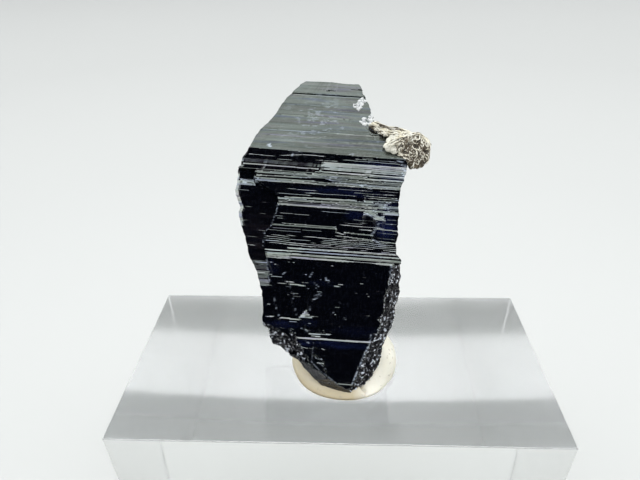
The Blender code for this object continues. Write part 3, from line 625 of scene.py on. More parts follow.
def front_depth(across, up, rows, left):
    """Depth of the whole front, and which of it is broken or the smooth slate facet."""
    layer = front_relief(across, up, rows)
    flank = np.minimum(flank_relief(across, up, rows), layer - 0.02)
    edge = limit_at(LAYER_LIMIT, rows)[:, None] + 0.05 * lattice_noise(up * 9, up * 0, 79)
    on_flank = (across < edge) & (up > FLANK_FOOT)
    depth = np.where(on_flank, flank, layer)
    rim = np.clip(1 - (across - left[:, None]) / RIM_WIDTH, 0, 1)
    rim = rim * np.clip((up - RIM_ZONE[0]) / 0.3, 0, 1) * np.clip((RIM_ZONE[1] - up) / 0.3, 0, 1)
    depth = depth - RIM_DEPTH * rim**1.3

    slate_edge = np.interp(across, *zip(*SLATE_LIMIT))
    left_slant = 2.92 - 0.41 * (across + 3.38)
    below_left = (across >= -3.5) & (across < -1.9) & (up > slate_edge - 0.02)
    # Each cut: its plane, grain size, roughness, seed, the places it may take, and what they become
    cuts = [
        (RIGHT_BREAK, 0.30, 0.15, 83, (across > 0.9) & in_zone(up, (3.0, RIGHT_BREAK_TOP)), BROKEN),
        (LOWER_RIGHT_BREAK, 0.28, 0.13, 89, (across > -0.4) & (up < 3.35), BROKEN),
        (LEFT_BREAK_ABOVE, 0.36, 0.17, 97, (across < -3.5) & (up < left_slant), BROKEN),
        (LEFT_BREAK_BELOW, 0.32, 0.15, 95, below_left, BROKEN),
        (SLATE_FACET, 0.45, 0.06, 101, (across < 0.2) & (up <= slate_edge), SLATE),
    ]
    kind = np.zeros(depth.shape, int)
    for points, size, rough, seed, where, result in cuts:
        cut = break_depth(points, across, up) + rough * grit(across, up, size, seed)
        lower = where & (cut < depth)
        depth = np.where(lower, cut, depth)
        kind = np.where(lower, result, kind)
    return depth, kind


def crystal_rings():
    """Points of the crystal ring by ring, in mm as across, up, forward, and what each is."""
    rows = row_heights()
    left = limit_at(LEFT_LIMIT, rows) + 0.022 * layered_noise(rows * 5, rows * 0, 71)
    right = limit_at(RIGHT_LIMIT, rows) + 0.028 * layered_noise(rows * 5, rows * 0, 73)
    right = np.maximum(right, left + LEAST_THICKNESS)
    across = left[:, None] + (right - left)[:, None] * np.linspace(0.0, 1.0, FRONT_COLUMNS)
    up = np.repeat(rows[:, None], FRONT_COLUMNS, axis=1)
    depth, kind = front_depth(across, up, rows, left)

    back_across = left[:, None] + (right - left)[:, None] * np.linspace(1.0, 0.0, BACK_COLUMNS)
    back_up = np.repeat(rows[:, None], BACK_COLUMNS, axis=1)
    back = back_relief(back_across, back_up, rows)
    behind = np.array([np.interp(a, b[::-1], d[::-1]) for a, b, d in zip(across, back_across, back)])
    depth = np.maximum(depth, behind + LEAST_THICKNESS)

    def side(near, far, at, seed, outward):
        parts = np.linspace(0, 1, SIDE_COLUMNS + 2)[1:-1]
        depths = near[:, None] + (far - near)[:, None] * parts
        heights = np.repeat(rows[:, None], SIDE_COLUMNS, axis=1)
        bulge = SIDE_BULGE * layered_noise(depths * 2.2, heights * 4, seed)
        return at[:, None] + outward * bulge, depths

    right_across, right_depth = side(depth[:, -1], back[:, 0], right, 103, 1)
    left_across, left_depth = side(back[:, -1], depth[:, 0], left, 107, -1)
    ring_across = np.hstack([across, right_across, back_across, left_across])
    ring_depth = np.hstack([depth, right_depth, back, left_depth])
    ring_up = np.repeat(rows[:, None], ring_across.shape[1], axis=1)
    top_shape = 0.04 * lattice_noise(ring_across * 0.8, ring_across * 0, 109)
    ring_up = ring_up + top_shape * np.clip((ring_up - 17.1) / 0.3, 0, 1)
    ring_kind = np.zeros(ring_depth.shape, int)
    ring_kind[:, :FRONT_COLUMNS] = kind
    right_side = slice(FRONT_COLUMNS, FRONT_COLUMNS + SIDE_COLUMNS)
    ring_kind[:, right_side] = np.where(ring_up[:, right_side] < RIGHT_BREAK_TOP, BROKEN, 0)
    ring_kind[:, -SIDE_COLUMNS:] = np.where(ring_up[:, -SIDE_COLUMNS:] < LEFT_BREAK_TOP, BROKEN, 0)
    return ring_across, ring_up, ring_depth, ring_kind


def ring_quads(rings, around):
    """Corner numbers of the quads between rings of points that follow one another."""
    index = np.arange(rings * around).reshape(rings, around)
    following = np.roll(index, -1, axis=1)
    return np.stack([index[:-1], following[:-1], following[1:], index[1:]], axis=-1).reshape(-1, 4)


def ring_mesh(name, across, up, depth, matrix):
    """A closed skin over rings of points given across, up and toward the front, in mm."""
    rows, columns = across.shape
    points = np.stack([across, -depth, up], axis=-1).reshape(-1, 3) * MM
    turn = np.array(matrix)
    points = points @ turn[:3, :3].T + turn[:3, 3]
    foot = range(columns)
    top = range((rows - 1) * columns, rows * columns)
    return mesh_object(name, points.tolist(), [*ring_quads(rows, columns).tolist(), foot[::-1], top])


def store_strike(made, across, up):
    """Keeps the crystal's own across and up, in mm, as a map for its materials."""
    layer = made.data.uv_layers.new(name="strike")
    loops = np.zeros(len(made.data.loops), int)
    made.data.loops.foreach_get("vertex_index", loops)
    pairs = np.stack([across.ravel(), up.ravel()], axis=-1)[loops]
    layer.data.foreach_set("uv", pairs.ravel())


def store_value(made, name, values):
    """Keeps one number per point, for the materials to read."""
    made.data.attributes.new(name, "FLOAT", "POINT").data.foreach_set("value", values.ravel())


def wear_and_highlight_strength(across, up, front):
    """How bruised or dusty each place of the front is, or how strongly a highlight is painted on it, from
    0 to 1.
    """
    wear_and_painted_highlight = np.zeros_like(across)
    for left, low, right, high, width, strength in WEAR_AND_HIGHLIGHT_LINES:
        run = np.array([right - left, high - low])
        part = ((across - left) * run[0] + (up - low) * run[1]) / (run @ run)
        part = np.clip(part, 0, 1)
        gap = np.hypot((across - left - part * run[0]) * 0.75, up - low - part * run[1])
        wear_and_painted_highlight = np.maximum(wear_and_painted_highlight, strength * np.clip(1.4 - gap / (0.75 * width + 0.008), 0, 1))
    wear_and_painted_highlight = wear_and_painted_highlight * np.clip(0.62 + 0.9 * lattice_noise(across * 9, up * 16, 121), 0, 1)
    mottled = layered_noise(across * 4.2, up * 9.0, 123, 4)
    mottled = mottled + 0.5 * lattice_noise(across * 1.1, up * 2.2, 127) - 0.30
    zone = 1.5 - np.hypot((across + 2.7) / 1.9, (up - 14.5) / 1.7)
    wear_and_painted_highlight = np.maximum(wear_and_painted_highlight, np.clip(mottled * 0.42, 0, 0.26) * np.clip(zone, 0, 1))
    return wear_and_painted_highlight * front


def navy_strength(across, up, front):
    """How blue each place of the front is, from 0 to 1."""
    navy = np.zeros_like(across)
    for middle, height, reach, rise, strength in NAVY_PATCHES:
        gap = np.hypot((across - middle) / reach, (up - height) / rise)
        navy = np.maximum(navy, strength * np.clip(1.5 - gap * 1.3, 0, 1))
    return np.clip(navy * (0.8 + 0.5 * lattice_noise(across * 1.5, up * 9, 125)), 0, 1) * front


def new_material(name, **values):
    """A material, with values set on its shader's sockets."""
    material = bpy.data.materials.new(name)
    material.use_nodes = True
    tree = material.node_tree
    shader = tree.nodes["Principled BSDF"]
    for key, value in values.items():
        shader.inputs[key].default_value = value
    return material, tree, shader


def add_node(tree, kind, **values):
    """A node with its settings, and with its inputs set where a name matches one."""
    node = tree.nodes.new(kind)
    for key, value in values.items():
        if key in node.inputs:
            node.inputs[key].default_value = value
        else:
            setattr(node, key, value)
    return node


def join(tree, source, output, target, socket):
    tree.links.new(source.outputs[output], target.inputs[socket])


def ramp(tree, source, output, stops):
    """A colour ramp on a node's output, with its places and colours."""
    node = tree.nodes.new("ShaderNodeValToRGB")
    node.color_ramp.elements.remove(node.color_ramp.elements[1])
    for index, (place, colour) in enumerate(stops):
        stop = node.color_ramp.elements[0] if index == 0 else node.color_ramp.elements.new(place)
        stop.position = place
        stop.color = (*colour, 1.0) if len(colour) == 3 else colour
    join(tree, source, output, node, "Fac")
    return node


def grey(value):
    return (value, value, value)


def add_noise(tree, source, output, scale, detail, roughness=0.5):
    """A noise texture on the coordinates that a node gives."""
    texture = add_node(tree, "ShaderNodeTexNoise", Scale=scale, Detail=detail, Roughness=roughness)
    join(tree, source, output, texture, "Vector")
    return texture


def strike_noise(tree, across_scale, up_scale, detail, roughness=0.5):
    """Noise over the crystal's across and up, stretched so that it turns into lines along its faces."""
    strike = add_node(tree, "ShaderNodeUVMap", uv_map="strike")
    scaled = add_node(tree, "ShaderNodeMapping", Scale=(across_scale, up_scale, 1.0))
    join(tree, strike, "UV", scaled, "Vector")
    return add_noise(tree, scaled, "Vector", 1.0, detail, roughness)


def add_bump(tree, height, strength, distance, target):
    """Bump from a texture, joined to the normal of a shader or of another bump."""
    bump = add_node(tree, "ShaderNodeBump", Strength=strength, Distance=distance)
    join(tree, height, "Fac", bump, "Height")
    join(tree, bump, "Normal", target, "Normal")
    return bump


def blend(tree, factor, output, first, second):
    """Mixes two colours, each given as values or as a node and its output."""
    node = add_node(tree, "ShaderNodeMix", data_type="RGBA")
    join(tree, factor, output, node, 0)
    for socket, colour in ((6, first), (7, second)):
        if len(colour) == 2:
            join(tree, colour[0], colour[1], node, socket)
        else:
            node.inputs[socket].default_value = (*colour, 1.0)
    return node


def anatase_material(settings):
    material, tree, shader = new_material("anatase_faces", IOR=settings.refraction)
    lines = strike_noise(tree, 0.5, 42.0, 3.0, 0.6)
    grain = strike_noise(tree, 5.0, 9.0, 5.0, 0.7)
    soft = add_bump(tree, grain, 0.04, 0.00003, shader)
    add_bump(tree, lines, 0.12, 0.00002, soft)

    # Dust lies on the faces in specks, and bruises and painted highlights along the front layer's edge are
    # stored with the mesh
    specks = strike_noise(tree, 8.0, 10.0, 1.0, 0.4)
    dust = ramp(tree, specks, "Fac", [(0.80, grey(0.0)), (0.86, grey(0.45))])
    wear_and_painted_highlight = add_node(tree, "ShaderNodeAttribute", attribute_name="wear_and_painted_highlight")
    marks = add_node(tree, "ShaderNodeMath", operation="MAXIMUM")
    join(tree, dust, "Color", marks, 0)
    join(tree, wear_and_painted_highlight, "Fac", marks, 1)
    navy = add_node(tree, "ShaderNodeAttribute", attribute_name="navy")
    body = blend(tree, navy, "Fac", settings.colour, settings.navy)
    hatching = strike_noise(tree, 13.0, 3.0, 3.0, 0.7)
    hatched = ramp(tree, hatching, "Fac", [(0.52, grey(0.0)), (0.74, grey(0.03))])
    body = blend(tree, hatched, "Color", (body, 2), (0.20, 0.24, 0.34))
    # Dust, bruises and the painted edge highlights turn the colour pale blue-grey
    scuffed_and_highlit = blend(tree, marks, 0, (body, 2), (0.36, 0.41, 0.50))
    join(tree, scuffed_and_highlit, 2, shader, "Base Color")

    polish = ramp(tree, grain, "Fac", [(0.35, grey(settings.gloss_roughness)), (0.80, grey(0.16))])
    dull = blend(tree, marks, 0, (polish, "Color"), grey(0.5))
    join(tree, dull, 2, shader, "Roughness")
    tint = strike_noise(tree, 0.25, 3.2, 2.0)
    hue = ramp(tree, tint, "Fac", [
        (0.30, (0.74, 0.82, 1.0)), (0.46, (0.90, 1.0, 0.93)), (0.58, (0.96, 1.0, 0.95)),
        (0.72, (0.82, 0.82, 1.0))])
    slate = add_node(tree, "ShaderNodeAttribute", attribute_name="slate")
    dimmed = blend(tree, slate, "Fac", (hue, "Color"), grey(0.38))
    join(tree, dimmed, 2, shader, "Specular Tint")
    return material


def broken_material(settings):
    """Dark broken faces, with facets that sparkle in patches and specks of painted highlight in their
    colour.
    """
    material, tree, shader = new_material("anatase_broken", IOR=settings.refraction)
    place = add_node(tree, "ShaderNodeTexCoord")
    grains = add_noise(tree, place, "Object", 3000.0, 3.0, 0.62)
    glitter = add_noise(tree, place, "Object", 6000.0, 2.0)
    # Pale blue-white specks of painted highlight in the base colour, where the grains glitter in the lit
    # patches
    colour = ramp(tree, glitter, "Fac", [
        (0.56, (0.002, 0.002, 0.004)), (0.60, (0.06, 0.066, 0.08)), (0.65, (0.70, 0.75, 0.84))])
    sparkle = ramp(tree, glitter, "Fac", [(0.48, grey(0.05)), (0.57, grey(1.0))])
    patches = add_noise(tree, place, "Object", 1500.0, 3.0, 0.6)
    lit = ramp(tree, patches, "Fac", [(0.38, grey(0.18)), (0.52, grey(1.0))])
    patchy = blend(tree, lit, "Color", grey(0.03), (sparkle, "Color"))
    join(tree, patchy, 2, shader, "Specular Tint")
    painted_sparkle = blend(tree, lit, "Color", (0.002, 0.002, 0.004), (colour, "Color"))
    join(tree, painted_sparkle, 2, shader, "Base Color")
    rough = ramp(tree, grains, "Fac", [(0.3, grey(0.08)), (0.7, grey(0.30))])
    join(tree, rough, "Color", shader, "Roughness")
    add_bump(tree, grains, 1.0, 0.00036, shader)
    return material


def build_crystal(settings):
    across, up, depth, kind = crystal_rings()
    crystal = ring_mesh("crystal", across, up, depth, seat_matrix(settings))
    store_strike(crystal, across, up)
    front = np.zeros(across.shape)
    front[:, :FRONT_COLUMNS] = 1.0
    store_value(crystal, "wear_and_painted_highlight", wear_and_highlight_strength(across, up, front))
    store_value(crystal, "navy", navy_strength(across, up, front))
    store_value(crystal, "slate", np.where(kind == SLATE, 1.0, 0.0))
    crystal.data.materials.append(anatase_material(settings))
    crystal.data.materials.append(broken_material(settings))
    broken_corners = (kind == BROKEN).ravel()[ring_quads(*across.shape)].sum(axis=1)
    slots = np.zeros(len(crystal.data.polygons), int)
    slots[:broken_corners.size] = broken_corners >= 3
    crystal.data.polygons.foreach_set("material_index", slots)
    crystal.data.set_sharp_from_angle(angle=SHARP_ANGLE)
    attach(crystal, "root")
    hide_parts("anatase_crystal")


# Mesh sizes of the fused lumps, in mm
ROCK_VOXEL = 0.040
FINE_VOXEL = 0.022


def fused_balls(name, balls, voxel):
    """Overlapping balls, given in mm as across, up, forward and radius, fused into one skin."""
    bm = bmesh.new()
    for across, up, forward, radius in balls:
        place = Matrix.Translation((across, -forward, up))
        bmesh.ops.create_icosphere(bm, subdivisions=3, radius=radius, matrix=place)
    mesh = bpy.data.meshes.new(name)
    bm.to_mesh(mesh)
    bm.free()
    lump = link(bpy.data.objects.new(name, mesh))
    remesh = lump.modifiers.new("fuse", "REMESH")
    remesh.mode = "VOXEL"
    remesh.voxel_size = voxel
    bpy.context.view_layer.update()
    fused = bpy.data.meshes.new_from_object(lump.evaluated_get(bpy.context.evaluated_depsgraph_get()))
    lump.modifiers.clear()
    lump.data = fused
    return lump


def roughen(lump, moves):
    """Moves every point along its normal by what a function of its place, in mm, gives."""
    bm = bmesh.new()
    bm.from_mesh(lump.data)
    bm.normal_update()
    shifts = [vertex.normal * moves(vertex.co) for vertex in bm.verts]
    for vertex, shift in zip(bm.verts, shifts):
        vertex.co += shift
    bm.to_mesh(lump.data)
    bm.free()


# Fused lumps of the rock scrap: across, up, forward and radius, in mm
MATRIX_BALLS = [
    (0.30, 14.45, 2.34, 0.28), (0.85, 14.22, 2.38, 0.32), (1.40, 14.10, 2.42, 0.37),
    (1.95, 13.88, 2.36, 0.46), (2.45, 13.72, 2.25, 0.52), (2.83, 13.50, 2.10, 0.54),
    (2.86, 13.10, 2.05, 0.50), (2.70, 12.82, 2.00, 0.46), (2.30, 13.10, 2.28, 0.60),
    (1.90, 13.05, 2.24, 0.40), (1.45, 13.50, 2.58, 0.40), (1.12, 13.36, 2.58, 0.32),
]
# Small lumps that fill the rock scrap in against the crystal
MATRIX_FILLING = [
    (0.15, 14.50, 2.12, 0.22), (0.62, 14.22, 2.22, 0.24), (1.05, 13.98, 2.32, 0.30),
    (1.42, 13.78, 2.40, 0.32), (1.80, 13.45, 2.42, 0.36), (2.00, 12.70, 2.60, 0.32),
    (2.40, 12.50, 2.42, 0.30), (2.95, 12.98, 2.05, 0.42), (3.00, 13.72, 2.10, 0.40),
    (1.62, 12.80, 2.70, 0.22), (2.60, 13.95, 2.30, 0.34), (0.40, 14.62, 2.20, 0.20),
]

# Outlines of the white crusts, across and up in mm, with how many small lumps each has
UPPER_CRUST = (
    [(-0.92, 15.82), (-0.76, 16.24), (-0.40, 16.46), (-0.16, 16.26), (-0.40, 15.96), (-0.60, 15.62)], 64)
LOWER_CRUST = (
    [(-0.52, 14.84), (-0.27, 15.02), (0.10, 14.98), (0.20, 14.70), (-0.10, 14.58), (-0.30, 14.58)], 52)
EDGE_CRUST = ([(0.02, 15.46), (0.12, 15.44), (0.18, 15.00), (0.04, 15.00)], 9)

# Bundles of fibres on the ridge and rims of the rock scrap: start, middle and end across and up in
# mm, how far the strands spread at the start and at the end, how many, and whether they are cream
FIBRE_BUNDLES = [
    ((-0.20, 14.74), (0.45, 14.82), (1.10, 14.48), 0.06, 0.08, 26, True),
    ((0.02, 14.52), (0.55, 14.54), (1.10, 14.26), 0.06, 0.10, 4, False),
    ((-0.10, 14.62), (0.20, 14.50), (0.60, 14.30), 0.08, 0.10, 14, True),
    ((0.20, 14.30), (0.80, 14.22), (1.35, 13.94), 0.10, 0.16, 34, True),
    ((0.85, 14.46), (1.60, 14.54), (2.30, 14.26), 0.05, 0.09, 28, True),
    ((0.95, 14.26), (1.60, 14.30), (2.20, 14.02), 0.08, 0.12, 9, False),
    ((1.10, 14.02), (1.65, 14.06), (2.15, 13.92), 0.08, 0.10, 12, True),
    ((1.95, 14.06), (2.70, 14.36), (3.25, 13.90), 0.07, 0.12, 26, True),
    ((2.80, 14.10), (3.50, 13.75), (3.36, 12.95), 0.06, 0.08, 30, True),
    ((1.50, 12.98), (1.85, 12.78), (2.20, 12.52), 0.08, 0.10, 10, True),
    ((2.50, 14.06), (1.75, 13.86), (0.90, 13.36), 0.10, 0.26, 16, True),
    ((2.10, 13.76), (1.60, 13.44), (1.05, 13.06), 0.12, 0.22, 9, True),
    ((2.30, 13.96), (1.60, 13.64), (0.95, 13.18), 0.14, 0.28, 2, False),
    ((1.00, 14.10), (1.60, 14.16), (2.30, 14.10), 0.08, 0.08, 20, True),
]
# Curled fibres over the rounded end: the middle and the reach of the place they start in, in mm,
# and how many
CURL_MIDDLE = Vector((2.46, 13.16))
CURL_REACH = Vector((0.92, 0.90))
CURLS = 320
STRAND_POINTS = 9
STRAND_RADII = (0.012, 0.034)

# Material slots of the rock scrap, after its dark ground (0)
CREAM_SLOT = 1
BROWN_SLOT = 2
TONGUE_SLOT = 3

# Lumps of a broad scaly tongue of cream fibres, and how much they swell
CREAM_TONGUE = [
    (0.90, 13.26, 2.84, 0.15), (1.06, 13.12, 2.88, 0.19), (1.32, 13.04, 2.90, 0.20),
    (1.60, 13.12, 2.88, 0.20), (1.12, 13.34, 2.88, 0.22), (1.40, 13.34, 2.92, 0.24),
    (1.70, 13.40, 2.90, 0.21), (1.30, 13.56, 2.88, 0.20), (1.60, 13.62, 2.88, 0.22),
    (1.88, 13.62, 2.84, 0.20), (1.04, 13.56, 2.78, 0.15), (1.90, 13.84, 2.76, 0.15),
    (1.50, 13.82, 2.78, 0.17), (1.18, 13.78, 2.70, 0.15), (2.12, 13.86, 2.70, 0.14),
    (2.34, 13.98, 2.62, 0.13), (2.56, 14.06, 2.52, 0.11), (0.86, 13.98, 2.58, 0.13),
    (1.70, 13.98, 2.70, 0.12),
]
TONGUE_SWELL = 1.06
TONGUE_BALLS = [(*ball[:3], ball[3] * TONGUE_SWELL) for ball in CREAM_TONGUE]


# The crystal's upper face under the crusts: how far forward it stands at a height, in mm, and how
# it falls back above that
UPPER_FACE_HEIGHT = 12.9
UPPER_FACE_FORWARD = 2.75
UPPER_FACE_FALL = 0.398


def upper_face_depth(up):
    """How far forward the upper face of the crystal stands, in mm."""
    return UPPER_FACE_FORWARD - UPPER_FACE_FALL * (up - UPPER_FACE_HEIGHT)


def inside_outline(outline, across, up):
    """Whether a place lies inside an outline of points."""
    within = False
    for (x0, z0), (x1, z1) in zip(outline, outline[1:] + outline[:1]):
        if (z0 > up) != (z1 > up) and across < x0 + (up - z0) / (z1 - z0) * (x1 - x0):
            within = not within
    return within


def crust_balls(outline, count, seed):
    """Small lumps scattered inside an outline on the upper face."""
    draw = np.random.default_rng(seed)
    low = np.min(outline, axis=0)
    high = np.max(outline, axis=0)
    balls = []
    while len(balls) < count:
        across, up = draw.uniform(low, high)
        if inside_outline(outline, across, up):
            radius = draw.uniform(0.05, 0.11)
            balls.append((across, up, upper_face_depth(up) + draw.uniform(-0.07, 0.02), radius))
    return balls


def fibre_material(name, dark, light, along=1.0):
    """Rock fibres, with their grain drawn out where along is less than 1, and painted shade in the grain's
    grooves.
    """
    material, tree, shader = new_material(name, Roughness=0.5)
    place = add_node(tree, "ShaderNodeTexCoord")
    drawn = add_node(
        tree, "ShaderNodeMapping", Rotation=(0.0, math.radians(28), 0.0), Scale=(along, 1.0, 1.0))
    join(tree, place, "Object", drawn, "Vector")
    fibres = add_noise(tree, drawn, "Vector", 2600.0, 5.0, 0.7)
    # The colour follows the bump, so the sunken grooves between fibres are darker: painted shade
    colour = ramp(tree, fibres, "Fac", [(0.38, dark), (0.62, light)])
    join(tree, colour, "Color", shader, "Base Color")
    add_bump(tree, fibres, 0.6, 0.00005, shader)
    return material


def crust_material(settings):
    material, tree, shader = new_material("white_crust", Roughness=0.38)
    place = add_node(tree, "ShaderNodeTexCoord")
    grains = add_noise(tree, place, "Object", 4200.0, 5.0, 0.7)
    # The colour follows the bump, so the hollows between grains are darker grey: painted shade
    colour = ramp(tree, grains, "Fac", [
        (0.34, (0.22, 0.23, 0.25)), (0.45, settings.crust), (0.65, (0.78, 0.79, 0.77))])
    join(tree, colour, "Color", shader, "Base Color")
    add_bump(tree, grains, 0.7, 0.00006, shader)
    return material


def balls_front(balls, across, up):
    """How far forward the balls reach at a place, or None beside them."""
    reach = None
    for x, z, forward, radius in balls:
        room = radius**2 - (across - x) ** 2 - (up - z) ** 2
        if room > 0 and (reach is None or forward + math.sqrt(room) > reach):
            reach = forward + math.sqrt(room)
    return reach


def add_strand(bm, path, radius, material_index):
    """A thin strand along a path, tapering to both ends."""
    turns = [(math.cos(angle), math.sin(angle)) for angle in (0.0, 1.05, 2.09, 3.14, 4.19, 5.24)]
    rings = []
    for index, point in enumerate(path):
        ahead = path[min(index + 1, len(path) - 1)] - path[max(index - 1, 0)]
        side = ahead.cross(Vector((0, 1, 0))).normalized()
        other = ahead.cross(side).normalized()
        wide = radius * (0.35 + 0.65 * math.sin(math.pi * (0.12 + 0.76 * index / (len(path) - 1))))
        rings.append([bm.verts.new(point + side * wide * c + other * wide * s) for c, s in turns])
    for near, far in zip(rings, rings[1:]):
        for step in range(len(turns)):
            beside = (step + 1) % len(turns)
            face = bm.faces.new((near[step], near[beside], far[beside], far[step]))
            face.material_index = material_index
            face.smooth = True
    for cap in (rings[0][::-1], rings[-1]):
        bm.faces.new(cap).material_index = material_index


def bundle_path(draw, bundle, balls):
    """The line of one strand of a bundle, where it lies on the lumps."""
    start, middle, end, spread, far_spread = bundle
    shift = draw.normal(0, 0.5, 2)
    a = np.array(start) + shift * spread
    b = np.array(middle) + shift * (spread + far_spread) / 2 + draw.normal(0, 0.05, 2)
    c = np.array(end) + shift * far_spread + draw.normal(0, 0.08, 2)
    lift = draw.uniform(-0.05, 0.06)
    begin = draw.uniform(0.0, 0.4)
    path = []
    for t in np.linspace(begin, draw.uniform(0.6, 1.0), STRAND_POINTS):
        across, up = (1 - t) ** 2 * a + 2 * t * (1 - t) * b + t * t * c
        across += 0.03 * math.sin(t * 14 + shift[0] * 9)
        up += 0.03 * math.sin(t * 17 + shift[1] * 9)
        forward = balls_front(balls, across, up)
        if forward is not None:
            path.append(Vector((across, -forward - lift, up)))
    return path


def curl_path(draw, balls):
    """The line of one curled fibre of the rounded end."""
    around = draw.uniform(0, 2 * math.pi)
    share = math.sqrt(draw.random())
    side = Vector((math.cos(around) * CURL_REACH.x, math.sin(around) * CURL_REACH.y))
    place = CURL_MIDDLE + side * share
    heading = draw.uniform(0, 2 * math.pi)
    curl = draw.uniform(-0.55, 0.55)
    step = draw.uniform(0.035, 0.090)
    lift = draw.uniform(-0.07, 0.07)
    path = []
    for _ in range(STRAND_POINTS):
        forward = balls_front(balls, place.x, place.y)
        if forward is None:
            break
        path.append(Vector((place.x, -forward - lift, place.y)))
        place = place + Vector((math.cos(heading), math.sin(heading))) * step
        heading += curl + draw.normal(0, 0.15)
    return path


def add_fibres(bm):
    """Curved strands along the ridge, and curled ones over the rounded end."""
    draw = np.random.default_rng(29)
    balls = MATRIX_BALLS + MATRIX_FILLING + TONGUE_BALLS
    for *bundle, count, cream in FIBRE_BUNDLES:
        for _ in range(count):
            path = bundle_path(draw, bundle, balls)
            if len(path) > 3:
                pale = cream if draw.random() < 0.80 else not cream
                add_strand(bm, path, draw.uniform(*STRAND_RADII), CREAM_SLOT if pale else BROWN_SLOT)
    for _ in range(CURLS):
        path = curl_path(draw, balls)
        if len(path) > 3:
            radius = draw.uniform(*STRAND_RADII)
            add_strand(bm, path, radius, CREAM_SLOT if draw.random() < 0.40 else BROWN_SLOT)


def place_lump(lump, seat, materials, node):
    """Brings a lump made in mm into the part's frame, in the place of its node."""
    lump.data.transform(seat @ Matrix.Scale(MM, 4))
    lump.data.shade_smooth()
    for material in materials:
        lump.data.materials.append(material)
    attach(lump, "root")
    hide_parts(node)


def build_rock(settings, seat):
    rock = fused_balls("rock_scrap", MATRIX_BALLS + MATRIX_FILLING, ROCK_VOXEL)

    def rock_moves(place):
        coarse = noise.noise(place * 2.2 + Vector((4, 4, -4)))
        fine = noise.fractal(place * 5.0, 0.8, 2.1, 4)
        return 0.07 * coarse + 0.11 * fine - 0.07

    roughen(rock, rock_moves)
    tongue = fused_balls("tongue", TONGUE_BALLS, FINE_VOXEL)

    def tongue_moves(place):
        along = place.x * 0.86 + place.z * 0.5
        beside = place.z * 0.86 - place.x * 0.5
        scales = noise.noise(Vector((along * 1.6, place.y, beside * 8.0)))
        return 0.050 * scales + 0.018 * noise.fractal(place * 5.5, 0.8, 2.1, 3)

    roughen(tongue, tongue_moves)
    bm = bmesh.new()
    bm.from_mesh(tongue.data)
    for face in bm.faces:
        face.material_index = TONGUE_SLOT
        face.smooth = True
    add_fibres(bm)
    bm.from_mesh(rock.data)
    bm.to_mesh(rock.data)
    bm.free()
    bpy.data.objects.remove(tongue)
    place_lump(rock, seat, [
        fibre_material("rock_dark", settings.brown, (0.27, 0.22, 0.14)),
        fibre_material("rock_cream_fibres", (0.66, 0.60, 0.45), (0.96, 0.94, 0.84)),
        fibre_material("rock_brown_fibres", (0.030, 0.022, 0.014), (0.20, 0.16, 0.11)),
        fibre_material("rock_tongue", tuple(Vector(settings.cream) * 0.55), settings.cream, 0.18),
    ], "matrix_fragment")
    material = crust_material(settings)
    crusts = (
        ("crust_upper", crust_balls(*UPPER_CRUST, 5), "crust_grain_upper"),
        ("crust_lower", crust_balls(*LOWER_CRUST, 6) + crust_balls(*EDGE_CRUST, 8), "crust_grain_lower"),
    )
    for name, balls, node in crusts:
        crust = fused_balls(name, balls, FINE_VOXEL)
        roughen(crust, lambda place: 0.07 * noise.fractal(place * 6.0, 0.8, 2.1, 4))
        place_lump(crust, seat, [material], node)


def putty_material(settings):
    material, tree, shader = new_material("mineral_putty", **{
        "Roughness": 0.55, "Subsurface Weight": 0.25, "Subsurface Radius": (0.0008, 0.0006, 0.0004)})
    place = add_node(tree, "ShaderNodeTexCoord")
    mottling = add_noise(tree, place, "Object", 700.0, 4.0)
    cream = Vector(settings.putty_colour)
    colour = ramp(tree, mottling, "Fac", [
        (0.3, tuple(cream * 0.86)), (0.6, tuple(cream)), (0.8, (0.90, 0.88, 0.80))])
    # Left side in painted tan shade, darkest just above the block and lighter higher up, with a painted
    # bright rim at its foot
    parts = add_node(tree, "ShaderNodeSeparateXYZ")
    join(tree, place, "Object", parts, "Vector")
    sides = add_node(tree, "ShaderNodeMapRange", **{
        "From Min": 0.0018, "From Max": 0.0009, "To Min": 0.0, "To Max": 0.9})
    join(tree, parts, "X", sides, "Value")
    height = add_node(tree, "ShaderNodeMapRange", **{
        "From Min": BLOCK_TOP + 0.00006, "From Max": BLOCK_TOP + 0.00060})
    join(tree, parts, "Z", height, "Value")
    tan = ramp(tree, height, "Result", [
        (0.0, (0.86, 0.78, 0.56)), (0.06, (0.34, 0.26, 0.14)), (0.5, (0.40, 0.33, 0.20)),
        (1.0, (0.52, 0.46, 0.32))])
    painted_shade_and_rim = blend(tree, sides, "Result", (colour, "Color"), (tan, "Color"))
    specks = add_noise(tree, place, "Object", 4200.0, 2.0)
    dirt = ramp(tree, specks, "Fac", [(0.63, grey(0.0)), (0.70, grey(0.55))])
    body = blend(tree, dirt, "Color", (painted_shade_and_rim, 2), (0.30, 0.26, 0.19))
    join(tree, body, 2, shader, "Base Color")
    add_bump(tree, add_noise(tree, place, "Object", 5000.0, 4.0), 0.25, 0.00005, shader)
    return material


PUTTY_CENTRE = Vector((0.44, -0.32)) * MM
# Points round the pad, and rings of points up its rounded foot and over its top
PUTTY_AROUND = 220
PUTTY_CURL = 14
PUTTY_RINGS = 52
# Height of the pad's widest place, how much lower it is in front, and how far its foot draws in
PUTTY_WAIST = 0.34
PUTTY_WAIST_DROP = 0.16
PUTTY_FOOT = 0.035
PUTTY_UNEVEN = 0.030
PUTTY_FRONT_SHARE = 0.95
# The low front part: its height, where it ends toward the back, and over what run the pad then rises
PUTTY_LOW_HEIGHT = 0.50
PUTTY_LOW_END = -2.5
PUTTY_SLOPE_RUN = 1.9
# Ends of the crease where the putty was folded, across and back from its middle, in mm
PUTTY_CREASE = (Vector((0.76, -2.06)), Vector((1.30, -2.75)))


